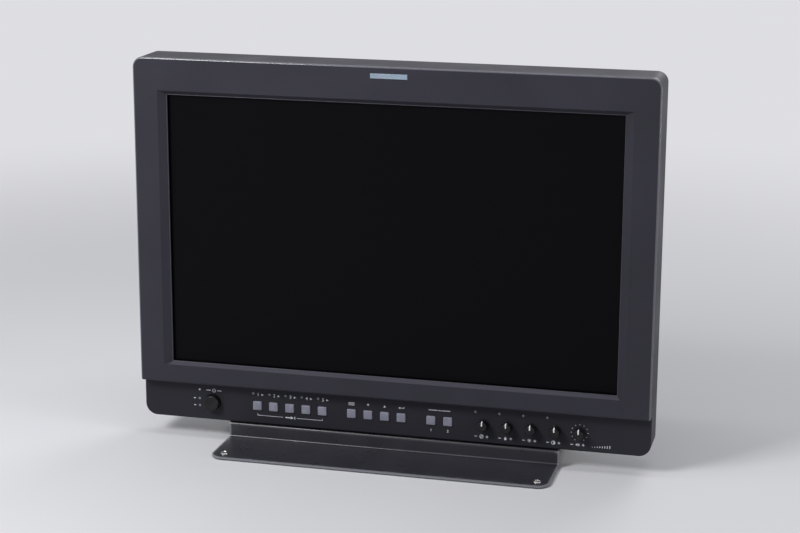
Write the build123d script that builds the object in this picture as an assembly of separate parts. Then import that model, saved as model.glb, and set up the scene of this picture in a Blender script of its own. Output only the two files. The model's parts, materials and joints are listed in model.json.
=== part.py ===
"""Professional desktop video monitor on a low bent-steel stand.

All sizes are in millimetres. +X is the viewer's right, -Y is towards the viewer, +Z is up.
The origin lies on the table, under the middle of the part's bounding box.
Pieces of the head are drawn in the head's own frame: x from its middle, y back from the front
face of the bezel, z up from its lower edge. HEAD moves them to their place at the end.
"""
import math
import os

from build123d import *

# Head: outline and depths
HEAD_WIDTH = 426.0
HEAD_HEIGHT = 304.0
TOP_CORNER_RADIUS = 8.5
BOTTOM_CORNER_RADIUS = 10.0
WALL = 2.5
BEZEL_DEPTH = 9.0
BEZEL_EDGE_ROUND = 1.4
BEZEL_LOWER_CORNER = 1.5
BEZEL_FRONT_WALL = 3.0
BEZEL_BOTTOM = 32.8
CABINET_DEPTH = 30.0
CABINET_EDGE_ROUND = 2.0
COVER_DEPTH = 48.0

# Borders left round the screen opening, and the slope that leads into it
SIDE_BORDER = 27.2
TOP_BORDER = 29.9
BOTTOM_BORDER = 50.3
CHAMFER_SIDE = 6.55
CHAMFER_TOP = 3.4
CHAMFER_BOTTOM = 2.4
CHAMFER_DEPTH = 4.0
LIP_DEPTH = 6.0
LIP_WIDTH = 9.5

# Clearances
FIT = 0.2
STACK_GAP = 0.1
SCREW_CLEARANCE = 0.05
RUNNING_CLEARANCE = 0.05
BUTTON_CLEARANCE = 0.25
POST_CLEARANCE = 2.0
CUT_MARGIN = 1.0

# Screen module
MODULE_MARGIN_SIDE = 4.7
MODULE_MARGIN_TOP = 5.5
LCD_SHEET = 0.8
LCD_WINDOW_MARGIN = 1.2
CELL_THICKNESS = 1.9
DIFFUSER_THICKNESS = 2.4
GUIDE_THICKNESS = 8.0
LAMP_DIAMETER = 2.6
RAIL_SHEET = 1.2
RAIL_FLANGE = 5.0
RAIL_LENGTH = 190.0
CHASSIS_SHEET = 1.2
CHASSIS_SIDE_MARGIN = 11.5
CHASSIS_TOP_MARGIN = 18.0
CHASSIS_BOTTOM_MARGIN = 2.0

# Case screws, from the rear of the cabinet into the bezel
CASE_POST_RADIUS = 3.8
CASE_POST_INSET = 9.5
CASE_POST_TOP_INSET = 12.0
CASE_POST_TOP_X = 100.0
CASE_POST_LOW = 66.0
CASE_POST_FROM_TOP = 42.0
CASE_SCREW_RADIUS = 1.5
CASE_HEAD_RADIUS = 2.8
CASE_HEAD_HEIGHT = 1.8
CASE_SCREW_BITE = 4.0
PAN_ROUND_SHARE = 0.6

# Control panel
PANEL_THICKNESS = 3.0
PANEL_TUCK = 4.0
PANEL_EDGE_ROUND = 1.2
PANEL_RIB = 1.5
PANEL_RIB_DEPTH = 3.0
PANEL_POST_RADIUS = 2.5
PANEL_POST_HEIGHT = 30.4
PANEL_POST_X = (-178.0, -135.0, -44.0, 21.0, 60.0, 172.0)
BOARD_STANDOFF = 7.6
BOARD_EDGE_MARGIN = 1.0
BOARD_THICKNESS = 1.6

# Square buttons
BUTTON_SIZE = 7.5
BUTTON_PROUD = 1.4
BUTTON_HEIGHT = 15.6
BUTTON_PITCH = 14.0
BUTTON_EDGE_ROUND = 0.4
BUTTON_FLANGE = 1.2
BUTTON_FLANGE_DEPTH = 1.0
BUTTON_TRAVEL = 0.8
STEM_RADIUS = 1.5
SWITCH_SIZE = 6.0
SWITCH_DEPTH = 3.6
INPUT_BUTTON_X = -114.0
INPUT_BUTTONS = 5
MENU_BUTTON_X = -33.0
MENU_BUTTONS = 4
FUNCTION_BUTTON_X = 34.0
FUNCTION_BUTTONS = 2

# Power button
POWER_X = -153.0
POWER_RADIUS = 6.6
POWER_PROUD = 6.0
POWER_TRAVEL = 2.5
POWER_EDGE_ROUND = 1.0
POWER_DISH_RADIUS = 14.0
POWER_DISH_DEPTH = 0.7
POWER_STEM_RADIUS = 2.2
POWER_SWITCH_SIZE = 12.0
POWER_SWITCH_DEPTH = 13.0

# Knobs
KNOB_X = 77.5
KNOB_PITCH = 19.6
PICTURE_KNOBS = 4
KNOB_RADIUS = 4.6
KNOB_TIP_RADIUS = 4.2
KNOB_LENGTH = 7.6
KNOB_GAP = 0.4
KNOB_EDGE_ROUND = 0.5
KNOB_FLUTES = 12
KNOB_FLUTE_RADIUS = 0.55
KNOB_FLUTE_OFFSET = 0.1
KNOB_POINTER_WIDTH = 0.9
KNOB_POINTER_DEPTH = 0.5
SPINDLE_RADIUS = 3.0
POT_SIZE = 10.0
POT_DEPTH = 6.4

# Lamp windows and tally lens
LAMP_WINDOW_RADIUS = 1.0
LAMP_WINDOW_HEIGHT = 25.9
INPUT_LAMP_SHIFT = -3.6
KNOB_LAMP_SHIFT = -6.7
POWER_LAMP_X = -164.7
POWER_LAMP_HEIGHTS = (11.8, 17.9)
TALLY_WIDTH = 30.0
TALLY_HEIGHT = 4.0
TALLY_FROM_TOP = 7.5
TALLY_PROUD = 0.3
TALLY_FLANGE = 1.0
TALLY_FLANGE_DEPTH = 1.2
TALLY_BOARD_MARGIN = 4.0

# Rear cover
COVER_SIDE_MARGIN = 13.0
COVER_BOTTOM = 42.0
COVER_TOP_MARGIN = 12.0
COVER_CORNER_RADIUS = 14.0
COVER_TAPER_SIDE = 32.0
COVER_TAPER_BOTTOM = 18.0
COVER_TAPER_TOP = 28.0
COVER_BACK_RADIUS = 20.0
COVER_FLANGE = 6.0
COVER_SCREW_X = 130.0
COVER_SCREW_LOW = 112.0
COVER_SCREW_FROM_TOP = 90.0
COVER_HEAD_RADIUS = 2.6
COVER_HEAD_HEIGHT = 1.6
VENT_WIDTH = 3.0
VENT_PITCH = 9.0
TOP_VENTS = 27
TOP_VENT_START = 12.0
TOP_VENT_LENGTH = 22.0
BACK_VENTS = 7
BACK_VENT_FROM_SIDE = 50.0
BACK_VENT_RISE = 26.0
BACK_VENT_FROM_TOP = 120.0
GRILLE_SLOTS = 6
GRILLE_PITCH = 5.0
GRILLE_SLOT_WIDTH = 2.0
GRILLE_LENGTH = 30.0
SPEAKER_FROM_TOP = 86.0
SPEAKER_RADIUS = 22.0
SPEAKER_DEPTH = 16.0
SPEAKER_MAGNET_RADIUS = 13.0

# Wall-mount posts, a 100 x 100 square of M4 threads
MOUNT_SPACING = 100.0
MOUNT_HEIGHT = 155.0
MOUNT_POST_RADIUS = 5.0
MOUNT_THREAD_RADIUS = 2.0
MOUNT_THREAD_LENGTH = 12.0
MOUNT_HOLE_RADIUS = 2.6

# Connector bay
BAY_SIDE_MARGIN = 18.0
BAY_TOP = 92.0
BAY_DEPTH = 25.0
BAY_RIM = 5.0
WINDOW_HEIGHT = 32.0
CONNECTOR_SHEET = 1.2
SOCKET_RISE = 1.0
BNC_FROM_SIDE = 18.0
BNC_PITCH = 22.0
BNC_AUDIO_GAP = 20.0
BNC_RADIUS = 4.8
BNC_LENGTH = 10.5
BNC_BORE_RADIUS = 4.0
BNC_NUT_RADIUS = 7.0
BNC_NUT_DEPTH = 2.0
BNC_LUG_RADIUS = 1.0
BNC_LUG_REACH = 6.0
BNC_LUG_SETBACK = 3.0
BNC_BORE_DEPTH = 7.4
BNC_CORE_RADIUS = 2.4
BNC_CORE_SETBACK = 1.5
BNC_BODY_RADIUS = 6.0
BNC_BODY_LENGTH = 9.0
AUDIO_FROM_PORT = 30.0
AUDIO_SPACING = 15.0
AUDIO_RADIUS = 4.2
AUDIO_LENGTH = 9.0
AUDIO_BORE_RADIUS = 1.7
AUDIO_BORE_DEPTH = 7.2
PORT_FROM_DC = 36.0
PORT_SPACING = 15.5
PORT_PLATE_WIDTH = 30.8
PORT_PLATE_HEIGHT = 12.5
PORT_PLATE_THICKNESS = 0.8
PORT_SHELL_WIDTH = 16.6
PORT_SHELL_HEIGHT = 8.4
PORT_SHELL_TAPER = 1.0
PORT_SHELL_PROUD = 5.8
PORT_BODY_LENGTH = 9.0
DC_FROM_AC = 46.0
DC_RADIUS = 9.5
DC_BORE_RADIUS = 7.8
DC_PROUD = 3.0
DC_LENGTH = 22.0
DC_BORE_DEPTH = 15.0
DC_PIN_RADIUS = 1.1
DC_PIN_RING = 4.6
DC_PIN_LENGTH = 8.0
DC_PINS = 4
DC_PLATE_WIDTH = 26.0
DC_PLATE_HEIGHT = 28.0
DC_PLATE_THICKNESS = 1.5
INLET_PLATE_RADIUS = 3.0
AC_FROM_SIDE = 36.0
AC_PLATE_WIDTH = 50.0
AC_PLATE_HEIGHT = 27.5
AC_PLATE_THICKNESS = 3.0
AC_BODY_WIDTH = 30.0
AC_BODY_HEIGHT = 22.5
AC_BODY_LENGTH = 20.0
AC_CAVITY_WIDTH = 24.4
AC_CAVITY_HEIGHT = 16.8
AC_CAVITY_DEPTH = 17.0
AC_CAVITY_CHAMFER = 4.2
AC_BLADE_PITCH = 7.0
AC_BLADE_WIDTH = 2.0
AC_BLADE_HEIGHT = 4.0
AC_BLADE_LENGTH = 11.0

# Circuit boards behind the chassis plate
STUD_LENGTH = 6.0
STUD_RADIUS = 2.5
STUD_INSET = 7.0
BOARD_SIDE_MARGIN = 41.0
BOARD_RISE = 12.0
BOARD_FROM_TOP = 68.0
MAIN_BOARD_POST_GAP = 14.0
POWER_BOARD_POST_GAP = 12.0
INVERTER_LENGTH = 142.0
INVERTER_HEIGHT = 22.0
INVERTER_FROM_TOP = 38.0
SINK_FROM_RIGHT = 80.0
SINK_SIZE = 40.0
SINK_BASE = 4.0
SINK_FIN_HEIGHT = 10.0
SINK_FIN = 1.6
SINK_FINS = 6
CHIP_SIZE = 20.0
CHIP_THICKNESS = 2.5
CHIP_X = (0.0, 28.0)
CHIP_DROP = 30.0
TRANSFORMER_SIZE = 34.0
TRANSFORMER_DEPTH = 24.0
CAPACITOR_RADIUS = 9.0
CAPACITOR_LENGTH = 22.0
CAPACITOR_HEIGHT = 26.0
CAPACITOR_SPACING = 60.0
HEAT_PLATE_WIDTH = 68.0
HEAT_PLATE_DEPTH = 18.0
HEAT_PLATE_FROM_TOP = 22.0
COIL_WIDTH = 18.0
COIL_DEPTH = 9.0
COIL_MARGIN = 4.0
COILS = 4

# Tilt hinge
HINGE_BACK = 24.0
HINGE_HEIGHT = 20.0
HINGE_X = 90.0
HINGE_SHEET = 3.0
EAR_RADIUS = 9.0
PIN_RADIUS = 3.0
PIN_HEAD_RADIUS = 5.0
PIN_HEAD_LENGTH = 2.5
PIN_PROUD = 1.0
WASHER_RADIUS = 7.0
WASHER_THICKNESS = 1.0
SPRING_WASHER_THICKNESS = 1.8
HINGE_NUT_RADIUS = 5.5
HINGE_NUT_LENGTH = 4.0
ARM_PLATE_WIDTH = 26.0
ARM_PLATE_LOW = 4.0
ARM_PLATE_HIGH = 33.0
ARM_SCREW_SPACING = 18.0
ARM_SCREW_RADIUS = 2.0
ARM_SCREW_REACH = 3.0
BRACKET_FOOT_WIDTH = 30.0
BRACKET_FOOT_LENGTH = 44.0
BRACKET_SCREW_OFFSET = 18.0
BRACKET_SCREW_SPACING = 30.0
BRACKET_SCREW_RADIUS = 2.0
BRACKET_HEAD_RADIUS = 3.8
BRACKET_HEAD_HEIGHT = 2.2

# Stand
STAND_WIDTH = 279.0
STAND_DEPTH = 190.0
STAND_SHEET = 1.6
STAND_CORNER_RADIUS = 10.0
STAND_BEND_RADIUS = 1.5
FOOT_REACH = 41.5
RISER_SETBACK = 11.0
RISER_HEIGHT = 12.8
REAR_FOOT_LENGTH = 30.0
PAD_THICKNESS = 1.0
PAD_RADIUS = 8.5
PAD_INSET = 10.0
HEAD_GAP = 1.0
FOOT_SCREW_RADIUS = 1.6
FOOT_HEAD_RADIUS = 3.2
FOOT_HEAD_HEIGHT = 1.2

# Places that follow from the sizes
opening_width = HEAD_WIDTH - 2 * SIDE_BORDER
opening_height = HEAD_HEIGHT - TOP_BORDER - BOTTOM_BORDER
opening_middle = BOTTOM_BORDER + opening_height / 2
cabinet_back = BEZEL_DEPTH + CABINET_DEPTH
cover_back = cabinet_back + COVER_DEPTH
chassis_back = cabinet_back - WALL - STACK_GAP
chassis_front = chassis_back - CHASSIS_SHEET
module_front = LIP_DEPTH + FIT
cell_front = module_front + LCD_SHEET + STACK_GAP
diffuser_front = cell_front + CELL_THICKNESS + STACK_GAP
guide_front = diffuser_front + DIFFUSER_THICKNESS + STACK_GAP
tray_floor = guide_front + GUIDE_THICKNESS + STACK_GAP
tray_back = tray_floor + LCD_SHEET
tray_width = opening_width + 2 * MODULE_MARGIN_SIDE
tray_height = opening_height + 2 * MODULE_MARGIN_TOP
layer_width = tray_width - 2 * LCD_SHEET - 2 * FIT
layer_height = tray_height - 2 * LCD_SHEET - 2 * FIT
module_width = tray_width + 2 * LCD_SHEET + 2 * STACK_GAP
module_height = tray_height + 2 * LCD_SHEET + 2 * STACK_GAP
panel_back = BEZEL_DEPTH + PANEL_THICKNESS
board_front = panel_back + BOARD_STANDOFF
board_back = board_front + BOARD_THICKNESS
rear_board_front = chassis_back + STUD_LENGTH
bay_wall = cover_back - BAY_DEPTH
connector_back = bay_wall - WALL - STACK_GAP
connector_front = connector_back - CONNECTOR_SHEET
hinge_y = cabinet_back + HINGE_BACK
stand_front = -STAND_DEPTH / 2
head_front = stand_front + FOOT_REACH
foot_top = PAD_THICKNESS + STAND_SHEET
platform_top = foot_top + RISER_HEIGHT
head_bottom = platform_top + HEAD_GAP
HEAD = Pos(0, head_front, head_bottom)
input_xs = [INPUT_BUTTON_X + i * BUTTON_PITCH for i in range(INPUT_BUTTONS)]
menu_xs = [MENU_BUTTON_X + i * BUTTON_PITCH for i in range(MENU_BUTTONS)]
function_xs = [FUNCTION_BUTTON_X + i * BUTTON_PITCH for i in range(FUNCTION_BUTTONS)]
knob_xs = [KNOB_X + i * KNOB_PITCH for i in range(PICTURE_KNOBS + 1)]
button_xs = input_xs + menu_xs + function_xs
cover_back_half = HEAD_WIDTH / 2 - COVER_SIDE_MARGIN - COVER_TAPER_SIDE
bay_half = cover_back_half - BAY_SIDE_MARGIN
window_middle = BAY_TOP - BAY_RIM - WINDOW_HEIGHT / 2
socket_height = window_middle + SOCKET_RISE
ac_x = bay_half - AC_FROM_SIDE
dc_x = ac_x - DC_FROM_AC
port_x = dc_x - PORT_FROM_DC
audio_x = port_x - AUDIO_FROM_PORT
bnc_left = BNC_FROM_SIDE - bay_half
bnc_jack_count = int((audio_x - BNC_AUDIO_GAP - bnc_left) / BNC_PITCH) + 1
bnc_xs = [bnc_left + i * BNC_PITCH for i in range(bnc_jack_count)]
speaker_x = cover_back_half - BACK_VENT_FROM_SIDE
speaker_height = HEAD_HEIGHT - SPEAKER_FROM_TOP
back_vent_low = BAY_TOP + BACK_VENT_RISE
back_vent_high = HEAD_HEIGHT - BACK_VENT_FROM_TOP
board_low = BAY_TOP + BOARD_RISE
board_high = HEAD_HEIGHT - BOARD_FROM_TOP
main_board_left = MAIN_BOARD_POST_GAP - MOUNT_SPACING / 2
main_board_right = HEAD_WIDTH / 2 - BOARD_SIDE_MARGIN
power_board_left = -main_board_right
power_board_right = -MOUNT_SPACING / 2 - POWER_BOARD_POST_GAP
inverter_left = power_board_left
inverter_right = inverter_left + INVERTER_LENGTH
inverter_high = HEAD_HEIGHT - INVERTER_FROM_TOP
inverter_low = inverter_high - INVERTER_HEIGHT
case_post_heights = (CASE_POST_LOW, opening_middle, HEAD_HEIGHT - CASE_POST_FROM_TOP)
case_posts = [(side * (HEAD_WIDTH / 2 - CASE_POST_INSET), z) for side in (-1, 1)
              for z in case_post_heights]
case_posts += [(side * CASE_POST_TOP_X, HEAD_HEIGHT - CASE_POST_TOP_INSET) for side in (-1, 1)]
mount_points = [(x, MOUNT_HEIGHT + z) for x in (-MOUNT_SPACING / 2, MOUNT_SPACING / 2)
                for z in (-MOUNT_SPACING / 2, MOUNT_SPACING / 2)]


def upright(sketch, front, back):
    """A sketch stood up to face the viewer, filled from depth front to depth back."""
    plane = Plane(origin=(0, back, 0), x_dir=(1, 0, 0), z_dir=(0, -1, 0))
    return plane * extrude(sketch, back - front)


def block(left, right, front, back, low, high):
    """A box given by its six faces."""
    middle = ((left + right) / 2, (front + back) / 2, (low + high) / 2)
    return Pos(*middle) * Box(right - left, back - front, high - low)


def rod(x, z, radius, front, back):
    """A round rod along the depth."""
    return Pos(x, (front + back) / 2, z) * Rot(90, 0, 0) * Cylinder(radius, back - front)


def cross_rod(y, z, radius, left, right):
    """A round rod from left to right."""
    return Pos((left + right) / 2, y, z) * Rot(0, 90, 0) * Cylinder(radius, right - left)


def rods(points, radius, front, back):
    """Round rods along the depth, one at each (x, z) point."""
    return [rod(x, z, radius, front, back) for x, z in points]


def rectangle(width, height, middle, radius=0.0):
    """A rectangle about x = 0 whose middle is at the height given, with rounded corners."""
    shape = RectangleRounded(width, height, radius) if radius else Rectangle(width, height)
    return Pos(0, middle) * shape


def case_outline(inset=0.0):
    """The head's outline seen from the front, drawn in by inset."""
    outline = Pos(0, HEAD_HEIGHT / 2) * Rectangle(HEAD_WIDTH - 2 * inset, HEAD_HEIGHT - 2 * inset)
    corners = outline.vertices().group_by(Axis.Y)
    outline = fillet(corners[-1], TOP_CORNER_RADIUS - inset)
    return fillet(outline.vertices().group_by(Axis.Y)[0], BOTTOM_CORNER_RADIUS - inset)


def pan_screw(x, z, head_radius, head_height, radius, face, tip):
    """A pan-head screw whose head lies behind the face and whose tip points to the front."""
    head = rod(x, z, head_radius, face, face + head_height)
    head = fillet(head.edges().group_by(Axis.Y)[-1], head_height * PAN_ROUND_SHARE)
    return head + rod(x, z, radius, tip, face)


def front_bezel():
    """Hollow front frame with a rounded outer edge and a sloping screen opening."""
    height = HEAD_HEIGHT - BEZEL_BOTTOM
    middle = BEZEL_BOTTOM + height / 2
    outline = Pos(0, middle) * Rectangle(HEAD_WIDTH, height)
    outline = fillet(outline.vertices().group_by(Axis.Y)[-1], TOP_CORNER_RADIUS)
    outline = fillet(outline.vertices().group_by(Axis.Y)[0], BEZEL_LOWER_CORNER)
    body = upright(outline, 0, BEZEL_DEPTH)
    body = fillet(body.faces().sort_by(Axis.Y)[0].outer_wire().edges(), BEZEL_EDGE_ROUND)
    lip = rectangle(opening_width + 2 * LIP_WIDTH, opening_height + 2 * LIP_WIDTH, opening_middle)
    pocket_outline = Pos(0, middle) * Rectangle(HEAD_WIDTH - 2 * WALL, height - 2 * WALL)
    pocket = upright(pocket_outline - lip, BEZEL_FRONT_WALL, BEZEL_DEPTH)
    top_rounding = upright(case_outline(WALL), 0, BEZEL_DEPTH)
    body -= pocket & top_rounding
    body -= upright(lip, LIP_DEPTH, BEZEL_DEPTH)
    throat = rectangle(opening_width, opening_height, opening_middle)
    body -= upright(throat, 0, BEZEL_DEPTH)
    front = Plane(origin=(0, 0, 0), x_dir=(1, 0, 0), z_dir=(0, -1, 0))
    behind = Plane(origin=(0, CHAMFER_DEPTH, 0), x_dir=(1, 0, 0), z_dir=(0, -1, 0))
    mouth = rectangle(opening_width + 2 * CHAMFER_SIDE, opening_height + CHAMFER_TOP + CHAMFER_BOTTOM,
                      opening_middle + (CHAMFER_TOP - CHAMFER_BOTTOM) / 2)
    body -= loft([front * mouth, behind * throat])
    for x, z in case_posts:
        body += rod(x, z, CASE_POST_RADIUS, BEZEL_FRONT_WALL, BEZEL_DEPTH)
    screw_holes = rods(case_posts, CASE_SCREW_RADIUS + SCREW_CLEARANCE, BEZEL_DEPTH - CASE_SCREW_BITE - FIT,
                       BEZEL_DEPTH)
    tally_hole = rectangle(TALLY_WIDTH + 2 * FIT, TALLY_HEIGHT + 2 * FIT, HEAD_HEIGHT - TALLY_FROM_TOP)
    return body - screw_holes - upright(tally_hole, 0, BEZEL_FRONT_WALL)


def cabinet():
    """Four-sided case behind the bezel with a rear wall that is open to the electronics."""
    body = upright(case_outline(), BEZEL_DEPTH, cabinet_back)
    rear_edges = body.faces().sort_by(Axis.Y)[-1].outer_wire().edges()
    body = fillet(rear_edges, CABINET_EDGE_ROUND)
    body -= upright(case_outline(WALL), BEZEL_DEPTH, cabinet_back - WALL)
    for x, z in case_posts:
        body += rod(x, z, CASE_POST_RADIUS, BEZEL_DEPTH, cabinet_back - WALL)
    half = HEAD_WIDTH / 2
    body -= block(-half, half, BEZEL_DEPTH, panel_back, 0, BEZEL_BOTTOM + PANEL_TUCK + FIT)
    inner_half = half - COVER_SIDE_MARGIN - WALL
    body -= block(-inner_half, inner_half, cabinet_back - WALL, cabinet_back, COVER_BOTTOM + WALL,
                  HEAD_HEIGHT - COVER_TOP_MARGIN - WALL)
    body -= rods(case_posts, CASE_SCREW_RADIUS + FIT, BEZEL_DEPTH, cabinet_back)
    body -= rods(case_posts, CASE_HEAD_RADIUS + FIT, cabinet_back - CASE_HEAD_HEIGHT, cabinet_back)
    wall_front = cabinet_back - WALL
    body -= rods(cover_screw_points(), CASE_SCREW_RADIUS + SCREW_CLEARANCE, wall_front, cabinet_back)
    return body - rods(arm_screw_points(), ARM_SCREW_RADIUS + FIT, wall_front, cabinet_back)


def case_screws():
    """Screws that hold the bezel to the cabinet, sunk into its rear wall."""
    return [pan_screw(x, z, CASE_HEAD_RADIUS, CASE_HEAD_HEIGHT, CASE_SCREW_RADIUS,
                      cabinet_back - CASE_HEAD_HEIGHT, BEZEL_DEPTH - CASE_SCREW_BITE) for x, z in case_posts]


def control_panel():
    """Strip under the screen with the holes for buttons, knobs and lamp windows."""
    top = BEZEL_BOTTOM + PANEL_TUCK
    strip = upright(case_outline(), BEZEL_DEPTH, panel_back)
    strip = fillet(strip.faces().sort_by(Axis.Y)[0].outer_wire().edges(), PANEL_EDGE_ROUND)
    half = HEAD_WIDTH / 2
    strip &= block(-half, half, BEZEL_DEPTH, panel_back, 0, top)
    for low in (2 * WALL, BEZEL_BOTTOM - PANEL_RIB):
        inner = half - BOTTOM_CORNER_RADIUS
        strip += block(-inner, inner, panel_back, panel_back + PANEL_RIB_DEPTH, low, low + PANEL_RIB)
    posts = [(x, PANEL_POST_HEIGHT) for x in PANEL_POST_X]
    for post in rods(posts, PANEL_POST_RADIUS, panel_back, board_front):
        strip += post
    hole = BUTTON_SIZE + 2 * BUTTON_CLEARANCE
    for x in button_xs:
        strip -= upright(Pos(x, BUTTON_HEIGHT) * Rectangle(hole, hole), BEZEL_DEPTH, panel_back)
    strip -= rod(POWER_X, BUTTON_HEIGHT, POWER_RADIUS + BUTTON_CLEARANCE, BEZEL_DEPTH, panel_back)
    spindles = [(x, BUTTON_HEIGHT) for x in knob_xs]
    strip -= rods(spindles, SPINDLE_RADIUS + BUTTON_CLEARANCE, BEZEL_DEPTH, panel_back)
    return strip - rods(lamp_points(), LAMP_WINDOW_RADIUS + STACK_GAP, BEZEL_DEPTH, panel_back)


def lamp_points():
    """Places of the small round lamp windows on the control panel."""
    points = [(x + INPUT_LAMP_SHIFT, LAMP_WINDOW_HEIGHT) for x in input_xs]
    points += [(x + KNOB_LAMP_SHIFT, LAMP_WINDOW_HEIGHT) for x in knob_xs[:PICTURE_KNOBS]]
    return points + [(POWER_LAMP_X, z) for z in POWER_LAMP_HEIGHTS]


def lamp_windows():
    """Clear light pipes, domed at the front, that reach back to the control board."""
    pipes = []
    for x, z in lamp_points():
        pipe = rod(x, z, LAMP_WINDOW_RADIUS, BEZEL_DEPTH - FIT, board_front - STACK_GAP)
        pipes.append(pipe)
    return pipes


def square_button(x):
    """Square push button with a flange behind the panel and a stem into its switch."""
    z = BUTTON_HEIGHT
    face = Pos(x, z) * Rectangle(BUTTON_SIZE, BUTTON_SIZE)
    cap = upright(face, BEZEL_DEPTH - BUTTON_PROUD, panel_back + FIT)
    cap = fillet(cap.faces().sort_by(Axis.Y)[0].edges(), BUTTON_EDGE_ROUND)
    width = BUTTON_SIZE + 2 * BUTTON_FLANGE
    flange_back = panel_back + FIT + BUTTON_FLANGE_DEPTH
    cap += upright(Pos(x, z) * Rectangle(width, width), panel_back + FIT, flange_back)
    return cap + rod(x, z, STEM_RADIUS, flange_back, board_front - SWITCH_DEPTH + FIT)


def button_switches():
    """Switch bodies on the control board, each with a bore for a button's stem."""
    switches = []
    bore_back = board_front - SWITCH_DEPTH + BUTTON_TRAVEL + 2 * FIT
    for x in button_xs:
        half = SWITCH_SIZE / 2
        body = block(x - half, x + half, board_front - SWITCH_DEPTH, board_front, BUTTON_HEIGHT - half,
                     BUTTON_HEIGHT + half)
        body -= rod(x, BUTTON_HEIGHT, STEM_RADIUS + BUTTON_CLEARANCE, board_front - SWITCH_DEPTH, bore_back)
        switches.append(body)
    return switches


def power_button():
    """Long round push button with a dished face."""
    front = BEZEL_DEPTH - POWER_PROUD
    cap = rod(POWER_X, BUTTON_HEIGHT, POWER_RADIUS, front, panel_back + FIT)
    cap = fillet(cap.edges().group_by(Axis.Y)[0], POWER_EDGE_ROUND)
    dish_middle = front + POWER_DISH_DEPTH - POWER_DISH_RADIUS
    dish = Pos(POWER_X, dish_middle, BUTTON_HEIGHT) * Sphere(POWER_DISH_RADIUS)
    flange_back = panel_back + FIT + BUTTON_FLANGE_DEPTH
    cap += rod(POWER_X, BUTTON_HEIGHT, POWER_RADIUS + BUTTON_FLANGE, panel_back + FIT, flange_back)
    stem_back = power_switch_front() + FIT
    return cap - dish + rod(POWER_X, BUTTON_HEIGHT, POWER_STEM_RADIUS, flange_back, stem_back)


def power_switch_front():
    """Depth of the power switch's front face, clear of the pressed button's flange."""
    return panel_back + FIT + BUTTON_FLANGE_DEPTH + POWER_TRAVEL + FIT


def power_switch():
    """Latching switch that stands in a cut-out of the control board."""
    half = POWER_SWITCH_SIZE / 2
    front = power_switch_front()
    body = block(POWER_X - half, POWER_X + half, front, front + POWER_SWITCH_DEPTH, BUTTON_HEIGHT - half,
                 BUTTON_HEIGHT + half)
    bore_back = front + POWER_TRAVEL + 2 * FIT
    return body - rod(POWER_X, BUTTON_HEIGHT, POWER_STEM_RADIUS + BUTTON_CLEARANCE, front, bore_back)


def knob(x):
    """Small tapered knob with fluted sides, a pointer groove and a spindle."""
    z = BUTTON_HEIGHT
    back = BEZEL_DEPTH - KNOB_GAP
    front = back - KNOB_LENGTH
    body = Pos(x, back, z) * Rot(90, 0, 0) * Cone(KNOB_RADIUS, KNOB_TIP_RADIUS, KNOB_LENGTH,
                                                  align=(Align.CENTER, Align.CENTER, Align.MIN))
    body = fillet(body.edges().group_by(Axis.Y)[0], KNOB_EDGE_ROUND)
    flutes = []
    for i in range(KNOB_FLUTES):
        angle = math.radians(90 + (i + 0.5) * 360 / KNOB_FLUTES)
        reach = KNOB_RADIUS + KNOB_FLUTE_OFFSET
        flutes.append(rod(x + reach * math.cos(angle), z + reach * math.sin(angle), KNOB_FLUTE_RADIUS,
                          front, back - 2 * KNOB_FLUTE_RADIUS))
    half = KNOB_POINTER_WIDTH / 2
    pointer = block(x - half, x + half, front, front + KNOB_POINTER_DEPTH, z + half, z + KNOB_RADIUS)
    body = body - flutes - pointer
    return body + rod(x, z, SPINDLE_RADIUS, back, board_front - POT_DEPTH / 2)


def knob_potentiometers():
    """Rotary controls on the control board, each with a bore for a knob's spindle."""
    bodies = []
    half = POT_SIZE / 2
    for x in knob_xs:
        body = block(x - half, x + half, board_front - POT_DEPTH, board_front, BUTTON_HEIGHT - half,
                     BUTTON_HEIGHT + half)
        body -= rod(x, BUTTON_HEIGHT, SPINDLE_RADIUS + RUNNING_CLEARANCE, board_front - POT_DEPTH,
                    board_front - POT_DEPTH / 2 + FIT)
        bodies.append(body)
    return bodies


def control_board():
    """Long board behind the control panel, cut out round the power switch."""
    margin = PANEL_POST_RADIUS + BOARD_EDGE_MARGIN
    left, right = PANEL_POST_X[0] - margin, PANEL_POST_X[-1] + margin
    board = block(left, right, board_front, board_back, WALL + FIT, PANEL_POST_HEIGHT + PANEL_POST_RADIUS)
    half = POWER_SWITCH_SIZE / 2 + FIT
    return board - block(POWER_X - half, POWER_X + half, board_front, board_back, BUTTON_HEIGHT - half,
                         BUTTON_HEIGHT + half)


def tally_lens():
    """Light bar in the bezel, with a flange behind its front wall."""
    z = HEAD_HEIGHT - TALLY_FROM_TOP
    flange_front = BEZEL_FRONT_WALL + STACK_GAP
    bar = upright(Pos(0, z) * Rectangle(TALLY_WIDTH, TALLY_HEIGHT), -TALLY_PROUD, flange_front)
    bar = fillet(bar.faces().sort_by(Axis.Y)[0].edges(), TALLY_PROUD)
    flange = Pos(0, z) * Rectangle(TALLY_WIDTH + 2 * TALLY_FLANGE, TALLY_HEIGHT + TALLY_FLANGE)
    return bar + upright(flange, flange_front, flange_front + TALLY_FLANGE_DEPTH)


def tally_board():
    """Small lamp board behind the tally lens."""
    front = BEZEL_FRONT_WALL + 2 * STACK_GAP + TALLY_FLANGE_DEPTH
    half = TALLY_WIDTH / 2 + TALLY_BOARD_MARGIN
    z = HEAD_HEIGHT - TALLY_FROM_TOP
    return block(-half, half, front, front + BOARD_THICKNESS, z - 2 * TALLY_HEIGHT, z + TALLY_HEIGHT / 2)


def layer(front, thickness, height):
    """One flat layer of the screen module."""
    return upright(rectangle(layer_width, height, opening_middle), front, front + thickness)


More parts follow.
